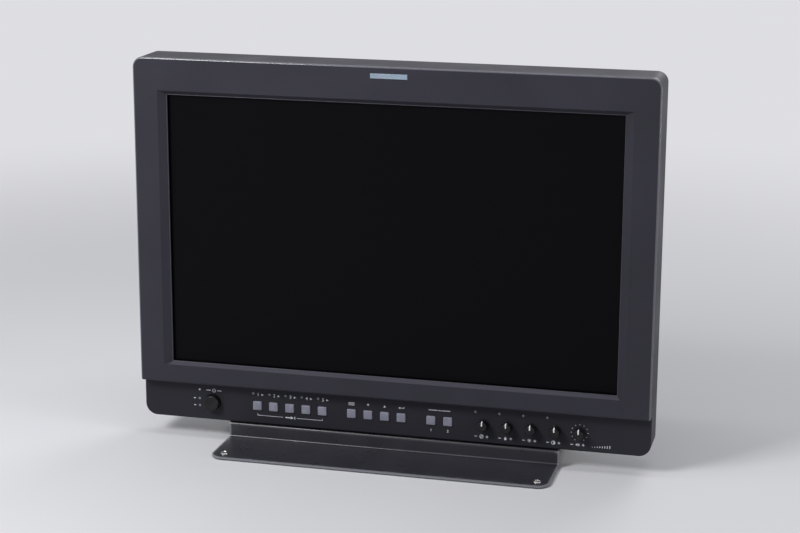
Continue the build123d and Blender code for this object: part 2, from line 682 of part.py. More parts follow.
def lcd_frame():
    """Folded steel frame that holds the screen module together."""
    body = upright(rectangle(module_width, module_height, opening_middle), module_front, tray_back)
    inside = rectangle(tray_width + 2 * STACK_GAP, tray_height + 2 * STACK_GAP, opening_middle)
    body -= upright(inside, module_front + LCD_SHEET, tray_back)
    window = rectangle(opening_width + 2 * LCD_WINDOW_MARGIN, opening_height + 2 * LCD_WINDOW_MARGIN,
                       opening_middle)
    return body - upright(window, module_front, module_front + LCD_SHEET)


def lamp_channel():
    """Height of the channel for the lamps above and below the light guide."""
    return LAMP_DIAMETER + 2 * FIT


def backlight_tray():
    """Steel tray behind the light guide."""
    body = upright(rectangle(tray_width, tray_height, opening_middle), cell_front, tray_back)
    inside = rectangle(tray_width - 2 * LCD_SHEET, tray_height - 2 * LCD_SHEET, opening_middle)
    return body - upright(inside, cell_front, tray_floor)


def backlight_lamps():
    """Four thin tubes, two above and two below the light guide."""
    tubes = []
    offset = layer_height / 2 - lamp_channel() / 2
    half = layer_width / 2
    for z in (opening_middle - offset, opening_middle + offset):
        for share in (0.25, 0.75):
            y = guide_front + share * GUIDE_THICKNESS
            tubes.append(cross_rod(y, z, LAMP_DIAMETER / 2, -half, half))
    return tubes


def panel_rails():
    """Folded rails from the sides of the screen module to the chassis plate."""
    rails = []
    inner = module_width / 2 + STACK_GAP
    low, high = opening_middle - RAIL_LENGTH / 2, opening_middle + RAIL_LENGTH / 2
    back = chassis_front - STACK_GAP
    for side in (-1, 1):
        a, b = sorted((side * inner, side * (inner + RAIL_SHEET)))
        c, d = sorted((side * inner, side * (inner + RAIL_FLANGE)))
        web = block(a, b, BEZEL_DEPTH + FIT, back, low, high)
        rails.append(web + block(c, d, back - RAIL_SHEET, back, low, high))
    return rails


def board_studs(left, right, low, high):
    """Corner points of a board's fixing studs."""
    return [(x, z) for x in (left + STUD_INSET, right - STUD_INSET)
            for z in (low + STUD_INSET, high - STUD_INSET)]


def chassis_plate():
    """Steel plate across the cabinet, with pressed-in studs for the boards."""
    half = HEAD_WIDTH / 2 - CHASSIS_SIDE_MARGIN - WALL
    top = HEAD_HEIGHT - CHASSIS_TOP_MARGIN - WALL
    plate = block(-half, half, chassis_front, chassis_back, WALL + CHASSIS_BOTTOM_MARGIN, top)
    points = board_studs(main_board_left, main_board_right, board_low, board_high)
    points += board_studs(power_board_left, power_board_right, board_low, board_high)
    points += board_studs(inverter_left, inverter_right, inverter_low, inverter_high)
    for stud in rods(points, STUD_RADIUS, chassis_back, rear_board_front - STACK_GAP):
        plate += stud
    return plate - rods(arm_screw_points(), ARM_SCREW_RADIUS + SCREW_CLEARANCE, chassis_front, chassis_back)


def main_board():
    """Video board with chips, heat sink fins and clearance round two mount posts."""
    face = rear_board_front + BOARD_THICKNESS
    body = block(main_board_left, main_board_right, rear_board_front, face, board_low, board_high)
    middle = (board_low + board_high) / 2
    left, top = main_board_right - SINK_FROM_RIGHT, middle + SINK_SIZE
    body += block(left, left + SINK_SIZE, face, face + SINK_BASE, middle, top)
    for i in range(SINK_FINS):
        x = left + i * (SINK_SIZE - SINK_FIN) / (SINK_FINS - 1)
        body += block(x, x + SINK_FIN, face + SINK_BASE, face + SINK_BASE + SINK_FIN_HEIGHT, middle, top)
    half = CHIP_SIZE / 2
    for x in CHIP_X:
        z = middle - CHIP_DROP
        body += block(x - half, x + half, face, face + CHIP_THICKNESS, z - half, z + half)
    posts = [point for point in mount_points if point[0] > 0]
    return body - rods(posts, MOUNT_POST_RADIUS + POST_CLEARANCE, rear_board_front, face)


def power_board():
    """Mains board with its transformer, capacitors and heat plate."""
    face = rear_board_front + BOARD_THICKNESS
    body = block(power_board_left, power_board_right, rear_board_front, face, board_low, board_high)
    x, z = (power_board_left + power_board_right) / 2, (board_low + board_high) / 2
    half = TRANSFORMER_SIZE / 2
    body += block(x - half, x + half, face, face + TRANSFORMER_DEPTH, z - half, z + half)
    for side in (-1, 1):
        can_x = x + side * CAPACITOR_SPACING / 2
        body += rod(can_x, board_low + CAPACITOR_HEIGHT, CAPACITOR_RADIUS, face, face + CAPACITOR_LENGTH)
    half = HEAT_PLATE_WIDTH / 2
    low = board_high - HEAT_PLATE_FROM_TOP
    return body + block(x - half, x + half, face, face + HEAT_PLATE_DEPTH, low, low + BOARD_THICKNESS)


def inverter_board():
    """Narrow board that feeds the lamps, with its row of coils."""
    face = rear_board_front + BOARD_THICKNESS
    body = block(inverter_left, inverter_right, rear_board_front, face, inverter_low, inverter_high)
    half = COIL_WIDTH / 2
    for i in range(COILS):
        x = inverter_left + (i + 0.5) * (inverter_right - inverter_left) / COILS
        body += block(x - half, x + half, face, face + COIL_DEPTH, inverter_low + COIL_MARGIN,
                      inverter_high - COIL_MARGIN)
    return body


def cover_form(inset, front, back):
    """Tapered bulge of the rear cover, drawn in by inset, between two depths."""
    def section(depth):
        share = (depth - cabinet_back) / COVER_DEPTH
        half = HEAD_WIDTH / 2 - COVER_SIDE_MARGIN - share * COVER_TAPER_SIDE - inset
        low = COVER_BOTTOM + share * COVER_TAPER_BOTTOM + inset
        high = HEAD_HEIGHT - COVER_TOP_MARGIN - share * COVER_TAPER_TOP - inset
        radius = COVER_CORNER_RADIUS + share * (COVER_BACK_RADIUS - COVER_CORNER_RADIUS) - inset
        plane = Plane(origin=(0, depth, 0), x_dir=(1, 0, 0), z_dir=(0, -1, 0))
        return plane * rectangle(2 * half, high - low, (low + high) / 2, radius)
    return loft([section(front), section(back)])


def bay_space(grow):
    """Notch under the back of the cover where the cables plug in, grown by a wall. It goes round the bosses
    of mounting posts that reach down into it."""
    half = bay_half + grow
    front, back = bay_wall - grow, cover_back + grow + CUT_MARGIN
    boss_radius = MOUNT_POST_RADIUS + POST_CLEARANCE + WALL - grow
    return block(-half, half, front, back, 0, BAY_TOP + grow) - rods(mount_points, boss_radius, front, back)


def cover_screw_points():
    """Places of the rear cover's screws, in the middle of its flange."""
    side = HEAD_WIDTH / 2 - COVER_SIDE_MARGIN + COVER_FLANGE / 2
    low = COVER_BOTTOM - COVER_FLANGE / 2
    high = HEAD_HEIGHT - COVER_TOP_MARGIN + COVER_FLANGE / 2
    points = [(x, z) for x in (-side, side) for z in (COVER_SCREW_LOW, HEAD_HEIGHT - COVER_SCREW_FROM_TOP)]
    return points + [(x, z) for x in (-COVER_SCREW_X, COVER_SCREW_X) for z in (low, high)]


def rear_cover():
    """Tapered shell with a screw flange, vents, a speaker grille and a connector bay."""
    outer = cover_form(0, cabinet_back, cover_back)
    outer = fillet(outer.faces().sort_by(Axis.Y)[-1].outer_wire().edges(), WALL)
    half = HEAD_WIDTH / 2 - COVER_SIDE_MARGIN + COVER_FLANGE
    low, high = COVER_BOTTOM - COVER_FLANGE, HEAD_HEIGHT - COVER_TOP_MARGIN + COVER_FLANGE
    flange = rectangle(2 * half, high - low, (low + high) / 2, COVER_CORNER_RADIUS + COVER_FLANGE)
    outer += upright(flange, cabinet_back, cabinet_back + WALL)
    outer -= bay_space(0)
    inner = cover_form(WALL, cabinet_back, cover_back - WALL) - bay_space(WALL)
    shell = outer - inner
    window = rectangle(2 * (bay_half - BAY_RIM), WINDOW_HEIGHT, window_middle)
    shell -= upright(window, bay_wall - WALL, bay_wall)
    shell -= rods(mount_points, MOUNT_HOLE_RADIUS, cover_back - WALL, cover_back)
    shell -= rods(cover_screw_points(), CASE_SCREW_RADIUS + FIT, cabinet_back, cabinet_back + WALL)
    slots = []
    for i in range(TOP_VENTS):
        x = (i - (TOP_VENTS - 1) / 2) * VENT_PITCH
        slots.append(block(x - VENT_WIDTH / 2, x + VENT_WIDTH / 2, cabinet_back + TOP_VENT_START,
                           cabinet_back + TOP_VENT_START + TOP_VENT_LENGTH,
                           HEAD_HEIGHT - COVER_TOP_MARGIN - COVER_TAPER_TOP - WALL, HEAD_HEIGHT))
    for side in (-1, 1):
        for i in range(BACK_VENTS):
            x = side * speaker_x + (i - (BACK_VENTS - 1) / 2) * VENT_PITCH
            slots.append(block(x - VENT_WIDTH / 2, x + VENT_WIDTH / 2, cover_back - WALL, cover_back,
                               back_vent_low, back_vent_high))
    for i in range(GRILLE_SLOTS):
        z = speaker_height + (i - (GRILLE_SLOTS - 1) / 2) * GRILLE_PITCH
        slots.append(block(speaker_x - GRILLE_LENGTH / 2, speaker_x + GRILLE_LENGTH / 2, cover_back - WALL,
                           cover_back, z - GRILLE_SLOT_WIDTH / 2, z + GRILLE_SLOT_WIDTH / 2))
    return shell - slots


def cover_screws():
    """Screws on the flange of the rear cover."""
    return [pan_screw(x, z, COVER_HEAD_RADIUS, COVER_HEAD_HEIGHT, CASE_SCREW_RADIUS, cabinet_back + WALL,
                      cabinet_back - WALL) for x, z in cover_screw_points()]


def speaker():
    """Round speaker behind the grille, basket and magnet in one."""
    back = cover_back - WALL - STACK_GAP
    middle = back - SPEAKER_DEPTH / 2
    basket = Pos(speaker_x, back, speaker_height) * Rot(90, 0, 0) * Cone(
        SPEAKER_RADIUS, SPEAKER_MAGNET_RADIUS, back - middle, align=(Align.CENTER, Align.CENTER, Align.MIN))
    return basket + rod(speaker_x, speaker_height, SPEAKER_MAGNET_RADIUS, back - SPEAKER_DEPTH, middle)


def mounting_posts():
    """Threaded steel posts from the chassis plate to the back wall."""
    posts = []
    back = cover_back - WALL - STACK_GAP
    for x, z in mount_points:
        post = rod(x, z, MOUNT_POST_RADIUS, chassis_back + STACK_GAP, back)
        posts.append(post - rod(x, z, MOUNT_THREAD_RADIUS, back - MOUNT_THREAD_LENGTH, back))
    return posts


def connector_panel():
    """Steel plate behind the window of the bay, with a hole for each socket."""
    half = bay_half - FIT
    z = window_middle
    rise = WINDOW_HEIGHT / 2 + BAY_RIM / 2
    plate = block(-half, half, connector_front, connector_back, z - rise, z + rise)
    plate -= rods(mount_points, MOUNT_POST_RADIUS + POST_CLEARANCE, connector_front, connector_back)
    jacks = [(x, socket_height) for x in bnc_xs]
    plate -= rods(jacks, BNC_BODY_RADIUS + FIT, connector_front, connector_back)
    plate -= rods(audio_points(), AUDIO_RADIUS + FIT, connector_front, connector_back)
    for height in port_heights():
        hole = Pos(port_x, height) * Rectangle(PORT_SHELL_WIDTH + 2 * FIT, PORT_SHELL_HEIGHT + 2 * FIT)
        plate -= upright(hole, connector_front, connector_back)
    plate -= rod(dc_x, socket_height, DC_RADIUS + FIT, connector_front, connector_back)
    mains = Pos(ac_x, socket_height) * Rectangle(AC_BODY_WIDTH + 2 * FIT, AC_BODY_HEIGHT + 2 * FIT)
    return plate - upright(mains, connector_front, connector_back)


def bnc_jacks():
    """Round video jacks with their nuts, bores and two bayonet lugs each."""
    jacks = []
    for x in bnc_xs:
        z = socket_height
        body = rod(x, z, BNC_BODY_RADIUS, connector_back - BNC_BODY_LENGTH, connector_back)
        nut_front = connector_back + STACK_GAP
        body += rod(x, z, BNC_NUT_RADIUS, nut_front, nut_front + BNC_NUT_DEPTH)
        tip = connector_back + BNC_NUT_DEPTH + BNC_LENGTH
        body += rod(x, z, BNC_RADIUS, connector_back, tip)
        body += cross_rod(tip - BNC_LUG_SETBACK, z, BNC_LUG_RADIUS, x - BNC_LUG_REACH, x + BNC_LUG_REACH)
        body -= rod(x, z, BNC_BORE_RADIUS, tip - BNC_BORE_DEPTH, tip)
        body += rod(x, z, BNC_CORE_RADIUS, tip - BNC_BORE_DEPTH, tip - BNC_CORE_SETBACK)
        jacks.append(body)
    return jacks


def audio_points():
    """Places of the two audio jacks, one above the other."""
    return [(audio_x, socket_height + s * AUDIO_SPACING / 2) for s in (-1, 1)]


def audio_jacks():
    """Two phono jacks."""
    jacks = []
    for x, z in audio_points():
        tip = connector_back + AUDIO_LENGTH
        body = rod(x, z, AUDIO_RADIUS, connector_back - AUDIO_LENGTH, tip)
        jacks.append(body - rod(x, z, AUDIO_BORE_RADIUS, tip - AUDIO_BORE_DEPTH, tip))
    return jacks


def port_heights():
    """Heights of the two remote-control ports, one above the other."""
    return [socket_height - PORT_SPACING / 2, socket_height + PORT_SPACING / 2]


def d_sub_ports():
    """Two nine-way ports with their plates and D-shaped shells."""
    ports = []
    for z in port_heights():
        plate_back = connector_back + STACK_GAP + PORT_PLATE_THICKNESS
        half_width, half_height = PORT_SHELL_WIDTH / 2, PORT_SHELL_HEIGHT / 2
        low_half = half_width - PORT_SHELL_TAPER
        shell = Pos(port_x, z) * make_face(Polyline((-half_width, half_height), (half_width, half_height),
                                                    (low_half, -half_height), (-low_half, -half_height),
                                                    close=True))
        port = upright(shell, connector_back - PORT_BODY_LENGTH, connector_back + PORT_SHELL_PROUD)
        plate = Pos(port_x, z) * Rectangle(PORT_PLATE_WIDTH, PORT_PLATE_HEIGHT)
        ports.append(port + upright(plate, connector_back + STACK_GAP, plate_back))
    return ports


def dc_inlet():
    """Round four-pin power inlet with recessed pins."""
    z = socket_height
    mouth = connector_back + DC_PROUD
    body = rod(dc_x, z, DC_RADIUS, mouth - DC_LENGTH, mouth)
    plate_front = connector_back + STACK_GAP
    plate = Pos(dc_x, z) * RectangleRounded(DC_PLATE_WIDTH, DC_PLATE_HEIGHT, INLET_PLATE_RADIUS)
    body += upright(plate, plate_front, plate_front + DC_PLATE_THICKNESS)
    body -= rod(dc_x, z, DC_BORE_RADIUS, mouth - DC_BORE_DEPTH, mouth)
    for i in range(DC_PINS):
        angle = math.radians((i + 0.5) * 360 / DC_PINS)
        x, height = dc_x + DC_PIN_RING * math.cos(angle), z + DC_PIN_RING * math.sin(angle)
        body += rod(x, height, DC_PIN_RADIUS, mouth - DC_BORE_DEPTH, mouth - DC_BORE_DEPTH + DC_PIN_LENGTH)
    return body


def ac_inlet():
    """Mains inlet: a flanged housing round a cavity with three flat blades."""
    z = socket_height
    face = connector_back + STACK_GAP
    mouth = face + AC_PLATE_THICKNESS
    body = upright(Pos(ac_x, z) * Rectangle(AC_BODY_WIDTH, AC_BODY_HEIGHT), mouth - AC_BODY_LENGTH, mouth)
    plate = Pos(ac_x, z) * RectangleRounded(AC_PLATE_WIDTH, AC_PLATE_HEIGHT, INLET_PLATE_RADIUS)
    body += upright(plate, face, mouth)
    cavity = Rectangle(AC_CAVITY_WIDTH, AC_CAVITY_HEIGHT)
    cavity = chamfer(cavity.vertices().group_by(Axis.Y)[-1], AC_CAVITY_CHAMFER)
    body -= upright(Pos(ac_x, z) * cavity, mouth - AC_CAVITY_DEPTH, mouth)
    floor = mouth - AC_CAVITY_DEPTH
    for i in (-1, 0, 1):
        x = ac_x + i * AC_BLADE_PITCH
        height = z + (AC_BLADE_HEIGHT / 2 if i == 0 else -AC_BLADE_HEIGHT / 2)
        body += block(x - AC_BLADE_WIDTH / 2, x + AC_BLADE_WIDTH / 2, floor, floor + AC_BLADE_LENGTH,
                      height - AC_BLADE_HEIGHT / 2, height + AC_BLADE_HEIGHT / 2)
    return body


def arm_screw_points():
    """Places of the screws that hold the tilt arms to the head."""
    middle = (ARM_PLATE_LOW + ARM_PLATE_HIGH) / 2
    half = ARM_SCREW_SPACING / 2
    return [(side * HINGE_X + s * half, middle) for side in (-1, 1) for s in (-1, 1)]


def tilt_arms():
    """Two angle brackets on the back of the head, each with an ear on the hinge pin."""
    arms = []
    for side in (-1, 1):
        x = side * HINGE_X
        plate = block(x - ARM_PLATE_WIDTH / 2, x + ARM_PLATE_WIDTH / 2, cabinet_back,
                      cabinet_back + HINGE_SHEET, ARM_PLATE_LOW, ARM_PLATE_HIGH)
        half = HINGE_SHEET / 2
        plate += cross_rod(hinge_y, HINGE_HEIGHT, EAR_RADIUS, x - half, x + half)
        plate += block(x - half, x + half, cabinet_back, hinge_y, HINGE_HEIGHT - EAR_RADIUS,
                       HINGE_HEIGHT + EAR_RADIUS)
        plate -= cross_rod(hinge_y, HINGE_HEIGHT, PIN_RADIUS + RUNNING_CLEARANCE, x - half, x + half)
        plate -= rods(arm_screw_points(), ARM_SCREW_RADIUS + FIT, cabinet_back, cabinet_back + HINGE_SHEET)
        arms.append(plate)
    return arms


def arm_screws():
    """Screws through the tilt arms and the cabinet into the chassis plate."""
    face = cabinet_back + HINGE_SHEET
    return [pan_screw(x, z, BRACKET_HEAD_RADIUS, BRACKET_HEAD_HEIGHT, ARM_SCREW_RADIUS, face,
                      chassis_front - ARM_SCREW_REACH) for x, z in arm_screw_points()]


def hinge_stations():
    """Distances from the arm's middle plane out to each piece on the hinge pin."""
    arm = HINGE_SHEET / 2
    washer = arm + STACK_GAP
    bracket = washer + WASHER_THICKNESS + STACK_GAP
    spring = bracket + HINGE_SHEET + STACK_GAP
    nut = spring + SPRING_WASHER_THICKNESS + STACK_GAP
    return arm, washer, bracket, spring, nut


def hinge_rod(side, radius, near, far):
    """A rod on the hinge axis between two distances outward from the arm's middle plane."""
    a, b = sorted((side * (HINGE_X + near), side * (HINGE_X + far)))
    return cross_rod(hinge_y, HINGE_HEIGHT, radius, a, b)


def bracket_screw_points():
    """Places, as (x, y), of the screws that hold the hinge brackets to the platform."""
    points = []
    bracket = hinge_stations()[2]
    middle = HINGE_X + bracket + BRACKET_SCREW_OFFSET
    for side in (-1, 1):
        points += [(side * middle, hinge_y + s * BRACKET_SCREW_SPACING / 2) for s in (-1, 1)]
    return points


def hinge_brackets():
    """Two angle brackets on the stand's platform that carry the hinge pins."""
    brackets = []
    near = hinge_stations()[2]
    foot_low = -HEAD_GAP
    for side in (-1, 1):
        a, b = sorted((side * (HINGE_X + near), side * (HINGE_X + near + HINGE_SHEET)))
        c, d = sorted((side * (HINGE_X + near), side * (HINGE_X + near + BRACKET_FOOT_WIDTH)))
        half = BRACKET_FOOT_LENGTH / 2
        body = block(c, d, hinge_y - half, hinge_y + half, foot_low, foot_low + HINGE_SHEET)
        body += block(a, b, hinge_y - EAR_RADIUS, hinge_y + EAR_RADIUS, foot_low, HINGE_HEIGHT)
        body += cross_rod(hinge_y, HINGE_HEIGHT, EAR_RADIUS, a, b)
        body -= cross_rod(hinge_y, HINGE_HEIGHT, PIN_RADIUS + SCREW_CLEARANCE, a, b)
        for x, y in bracket_screw_points():
            body -= Pos(x, y, foot_low + HINGE_SHEET / 2) * Cylinder(BRACKET_SCREW_RADIUS + FIT, HINGE_SHEET)
        brackets.append(body)
    return brackets


def hinge_pins():
    """Two headed pins through the arms, washers, brackets and nuts."""
    pins = []
    arm, _, _, _, nut = hinge_stations()
    head = -arm - STACK_GAP
    for side in (-1, 1):
        pin = hinge_rod(side, PIN_HEAD_RADIUS, head - PIN_HEAD_LENGTH, head)
        pins.append(pin + hinge_rod(side, PIN_RADIUS, head, nut + HINGE_NUT_LENGTH + PIN_PROUD))
    return pins


def friction_washers():
    """On each pin a flat friction washer and a pair of spring washers."""
    washers = []
    _, washer, _, spring, _ = hinge_stations()
    for side in (-1, 1):
        for near, thickness in ((washer, WASHER_THICKNESS), (spring, SPRING_WASHER_THICKNESS)):
            disc = hinge_rod(side, WASHER_RADIUS, near, near + thickness)
            washers.append(disc - hinge_rod(side, PIN_RADIUS + SCREW_CLEARANCE, near, near + thickness))
    return washers


def hinge_nuts():
    """Six-sided nuts that set the hinge's friction."""
    nuts = []
    near = hinge_stations()[4]
    for side in (-1, 1):
        start = side * (HINGE_X + near)
        plane = Plane(origin=(start, hinge_y, HINGE_HEIGHT), x_dir=(0, 1, 0), z_dir=(side, 0, 0))
        nut = plane * extrude(RegularPolygon(HINGE_NUT_RADIUS, 6), HINGE_NUT_LENGTH)
        nuts.append(nut - hinge_rod(side, PIN_RADIUS + SCREW_CLEARANCE, near, near + HINGE_NUT_LENGTH))
    return nuts


def bracket_screws():
    """Screws with nuts below that hold the hinge brackets to the platform."""
    screws = []
    top = -HEAD_GAP + HINGE_SHEET
    tip = -HEAD_GAP - STAND_SHEET - BRACKET_HEAD_HEIGHT
    for x, y in bracket_screw_points():
        screw = Pos(x, y, top + BRACKET_HEAD_HEIGHT / 2) * Cylinder(BRACKET_HEAD_RADIUS, BRACKET_HEAD_HEIGHT)
        screw += Pos(x, y, (top + tip) / 2) * Cylinder(BRACKET_SCREW_RADIUS, top - tip)
        nut_top = -HEAD_GAP - STAND_SHEET
        nut = extrude(RegularPolygon(BRACKET_HEAD_RADIUS, 6), BRACKET_HEAD_HEIGHT)
        screws.append(screw + Pos(x, y, nut_top - BRACKET_HEAD_HEIGHT) * nut)
    return screws


def foot_points():
    """Places, as (x, y), of the pads and their screws under the two foot plates."""
    x, y = STAND_WIDTH / 2 - PAD_INSET, STAND_DEPTH / 2 - PAD_INSET
    return [(a, b) for a in (-x, x) for b in (-y, y)]


def bend_corners(profile, low, high):
    """Corners of the stand's profile at the two heights given, without the free ends of its feet."""
    near = 0.01
    corners = [v for v in profile.vertices() if abs(v.X) < STAND_DEPTH / 2 - near]
    return [v for v in corners if min(abs(v.Y - low), abs(v.Y - high)) < near]


def stand_base():
    """One bent sheet: front foot, riser, platform, rear riser and rear foot."""
    front, back = -STAND_DEPTH / 2, STAND_DEPTH / 2
    riser = head_front + RISER_SETBACK
    rear_riser = back - REAR_FOOT_LENGTH
    low, high, sheet = PAD_THICKNESS, platform_top, STAND_SHEET
    profile = make_face(Polyline(
        (front, low), (riser + sheet, low), (riser + sheet, high - sheet),
        (rear_riser - sheet, high - sheet), (rear_riser - sheet, low), (back, low), (back, low + sheet),
        (rear_riser, low + sheet), (rear_riser, high), (riser, high), (riser, low + sheet),
        (front, low + sheet), close=True))
    profile = fillet(bend_corners(profile, low, high), STAND_BEND_RADIUS + sheet)
    profile = fillet(bend_corners(profile, low + sheet, high - sheet), STAND_BEND_RADIUS)
    side = Plane(origin=(-STAND_WIDTH / 2, 0, 0), x_dir=(0, 1, 0), z_dir=(1, 0, 0))
    sheet_body = side * extrude(profile, STAND_WIDTH)
    sheet_body &= extrude(RectangleRounded(STAND_WIDTH, STAND_DEPTH, STAND_CORNER_RADIUS), high)
    for x, y in foot_points():
        sheet_body -= Pos(x, y, low + sheet / 2) * Cylinder(FOOT_SCREW_RADIUS + SCREW_CLEARANCE, sheet)
    for x, y in bracket_screw_points():
        hole = Cylinder(BRACKET_SCREW_RADIUS + SCREW_CLEARANCE, sheet)
        sheet_body -= Pos(x, y + head_front, high - sheet / 2) * hole
    return sheet_body


def foot_pads():
    """Rubber discs under the corners of the stand."""
    pads = []
    for x, y in foot_points():
        pad = Pos(x, y, PAD_THICKNESS / 2) * Cylinder(PAD_RADIUS, PAD_THICKNESS)
        depth = PAD_THICKNESS / 2
        bore = Cylinder(FOOT_SCREW_RADIUS + SCREW_CLEARANCE, depth)
        pads.append(pad - Pos(x, y, PAD_THICKNESS - depth / 2) * bore)
    return pads


def foot_screws():
    """Low screws through the foot plates into the pads."""
    screws = []
    for x, y in foot_points():
        head = Pos(x, y, foot_top + FOOT_HEAD_HEIGHT / 2) * Cylinder(FOOT_HEAD_RADIUS, FOOT_HEAD_HEIGHT)
        head = fillet(head.edges().group_by(Axis.Z)[-1], FOOT_HEAD_HEIGHT * PAN_ROUND_SHARE)
        tip = PAD_THICKNESS / 2 + SCREW_CLEARANCE
        screws.append(head + Pos(x, y, (foot_top + tip) / 2) * Cylinder(FOOT_SCREW_RADIUS, foot_top - tip))
    return screws


def save(name, shapes, place=Pos(0, 0, 0)):
    """Write one node, a solid or a group of separate solids, as a STEP file."""
    if not isinstance(shapes, list):
        shapes = [shapes]
    solids = [place * solid for shape in shapes for solid in shape.solids()]
    node = solids[0] if len(solids) == 1 else Compound(children=solids)
    node.label = name
    export_step(node, os.path.join("parts", name + ".step"))


def main():
    """Build every node of the monitor."""
    os.makedirs("parts", exist_ok=True)
    for maker in (stand_base, foot_pads, foot_screws):
        save(maker.__name__, maker())
    head_makers = (
        hinge_brackets, bracket_screws, hinge_pins, friction_washers, hinge_nuts,
        front_bezel, cabinet, case_screws, control_panel, lamp_windows, tally_lens, tally_board,
        rear_cover, cover_screws, speaker, mounting_posts, chassis_plate, panel_rails,
        tilt_arms, arm_screws, connector_panel, bnc_jacks, audio_jacks, d_sub_ports, dc_inlet, ac_inlet,
        lcd_frame, backlight_tray, backlight_lamps, main_board, power_board, inverter_board,
        control_board, button_switches, knob_potentiometers, power_switch, power_button)
    for maker in head_makers:
        save(maker.__name__, maker(), HEAD)
    save("lcd_cell", layer(cell_front, CELL_THICKNESS, layer_height), HEAD)
    save("diffuser_stack", layer(diffuser_front, DIFFUSER_THICKNESS, layer_height), HEAD)
    save("light_guide", layer(guide_front, GUIDE_THICKNESS, layer_height - 2 * lamp_channel()), HEAD)
    for kind, places in (("input", input_xs), ("menu", menu_xs), ("function", function_xs)):
        for number, x in enumerate(places, start=1):
            save(f"{kind}_button_{number}", square_button(x), HEAD)
    for number, x in enumerate(knob_xs[:PICTURE_KNOBS], start=1):
        save(f"picture_knob_{number}", knob(x), HEAD)
    save("volume_knob", knob(knob_xs[-1]), HEAD)


main()
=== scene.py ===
# %% [markdown]
# # A studio video monitor
# The real object is a flat screen head in charcoal plastic, with a row of real buttons and knobs under the
# screen, on a low stand of bent steel. Its working parts were drawn in a CAD program and come in as a fixed
# frame of named pieces. This lesson dresses them: it gives each surface its finish, and adds what is too
# small to be worth drawing in CAD, such as printing, screw recesses and the soft edge of a button.

# %% Load the frame
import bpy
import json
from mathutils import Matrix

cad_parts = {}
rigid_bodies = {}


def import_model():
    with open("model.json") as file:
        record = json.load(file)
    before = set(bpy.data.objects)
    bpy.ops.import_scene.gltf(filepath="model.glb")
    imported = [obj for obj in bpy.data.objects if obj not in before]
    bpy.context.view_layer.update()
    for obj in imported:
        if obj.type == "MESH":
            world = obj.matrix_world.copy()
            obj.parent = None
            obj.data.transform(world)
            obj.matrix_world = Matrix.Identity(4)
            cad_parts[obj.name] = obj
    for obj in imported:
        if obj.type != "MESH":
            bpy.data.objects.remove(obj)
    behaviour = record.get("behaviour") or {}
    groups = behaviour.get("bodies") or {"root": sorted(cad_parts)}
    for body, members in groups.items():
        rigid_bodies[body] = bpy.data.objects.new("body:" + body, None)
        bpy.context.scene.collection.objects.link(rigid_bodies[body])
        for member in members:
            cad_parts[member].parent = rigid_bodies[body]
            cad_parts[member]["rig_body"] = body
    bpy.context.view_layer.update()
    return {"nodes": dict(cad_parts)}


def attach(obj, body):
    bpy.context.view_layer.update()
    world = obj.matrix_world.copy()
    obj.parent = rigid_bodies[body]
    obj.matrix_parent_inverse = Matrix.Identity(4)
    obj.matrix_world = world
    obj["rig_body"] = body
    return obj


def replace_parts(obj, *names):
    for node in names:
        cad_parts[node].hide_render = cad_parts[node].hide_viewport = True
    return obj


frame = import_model()

# %% [markdown]
# Blender counts in metres, and a small object is easier to think of in millimetres. So every shape below is
# worked out in millimetres and multiplied by MM once, when it becomes an object. Places are read from the
# frame, so that a label stays over its button when the button moves in CAD.

# %% Units and places read from the frame
import json
import math
import bmesh
import bpy
import numpy as np
from mathutils import Matrix, Vector

MM = 0.001


def points_of(node):
    """All points of a CAD node, in millimetres, one row each."""
    mesh = frame["nodes"][node].data
    points = np.empty(len(mesh.vertices) * 3)
    mesh.vertices.foreach_get("co", points)
    return points.reshape(-1, 3) / MM


def box_of(points):
    """Lowest and highest corner of some points."""
    return points.min(axis=0), points.max(axis=0)


bezel_face = box_of(points_of("front_bezel"))[0][1]
panel_face, head_bottom = box_of(points_of("control_panel"))[0][1:]
print(f"bezel face y {bezel_face:.1f}, panel face y {panel_face:.1f}, head bottom z {head_bottom:.1f} mm")

# %% [markdown]
# Some CAD nodes hold several solids, such as four screws. To dress each one, its place is needed. Blender can
# split a mesh into its loose parts, but only the places are wanted here, so the CAD object stays whole. The
# solids of a node share no corners, so a flood of labels finds them: every corner starts with its own number,
# each triangle passes on its lowest number, and after a few rounds each solid has one number everywhere.

# %% The separate solids of a node


def solids_of(node):
    """Boxes of a node's separate solids, as an array (solid, low or high, axis), sorted by x and then z."""
    mesh = frame["nodes"][node].data
    corners = np.empty(len(mesh.loops), int)
    mesh.loops.foreach_get("vertex_index", corners)
    points = points_of(node)
    merged, where = np.unique(np.round(points, 2), axis=0, return_inverse=True)
    triangles = where.reshape(-1)[corners].reshape(-1, 3)
    label = np.arange(len(merged))
    settled = False
    while not settled:
        passed = label.copy()
        np.minimum.at(passed, triangles, label[triangles].min(axis=1, keepdims=True))
        passed = passed[passed]
        settled = np.array_equal(passed, label)
        label = passed
    boxes = np.array([box_of(merged[label == number]) for number in np.unique(label)])
    middle = boxes.mean(axis=1).round(1)
    return boxes[np.lexsort((middle[:, 2], middle[:, 0]))]


print("foot screws at", solids_of("foot_screws").mean(axis=1).round(1).tolist())

# %% [markdown]
# The camera stands where the photographer's stood: 14 degrees to the right of straight on and 14 degrees up,
# about 1.6 m away, with a long lens. These numbers were found by moving a virtual camera until the corners of
# the bezel, the screen opening and the stand fell on the same pixels as in the photograph. A constraint could
# aim the camera, but it would lose the small roll, so the camera's matrix is worked out from two angles.

# %% Camera
CAMERA_AZIMUTH = math.radians(14.25)
CAMERA_ELEVATION = math.radians(14.05)
CAMERA_ROLL = math.radians(0.24)
CAMERA_DISTANCE = 1570.3
CAMERA_LENS = 88.87
AIM_SIDE = 9.75
AIM_HEIGHT = 144.9


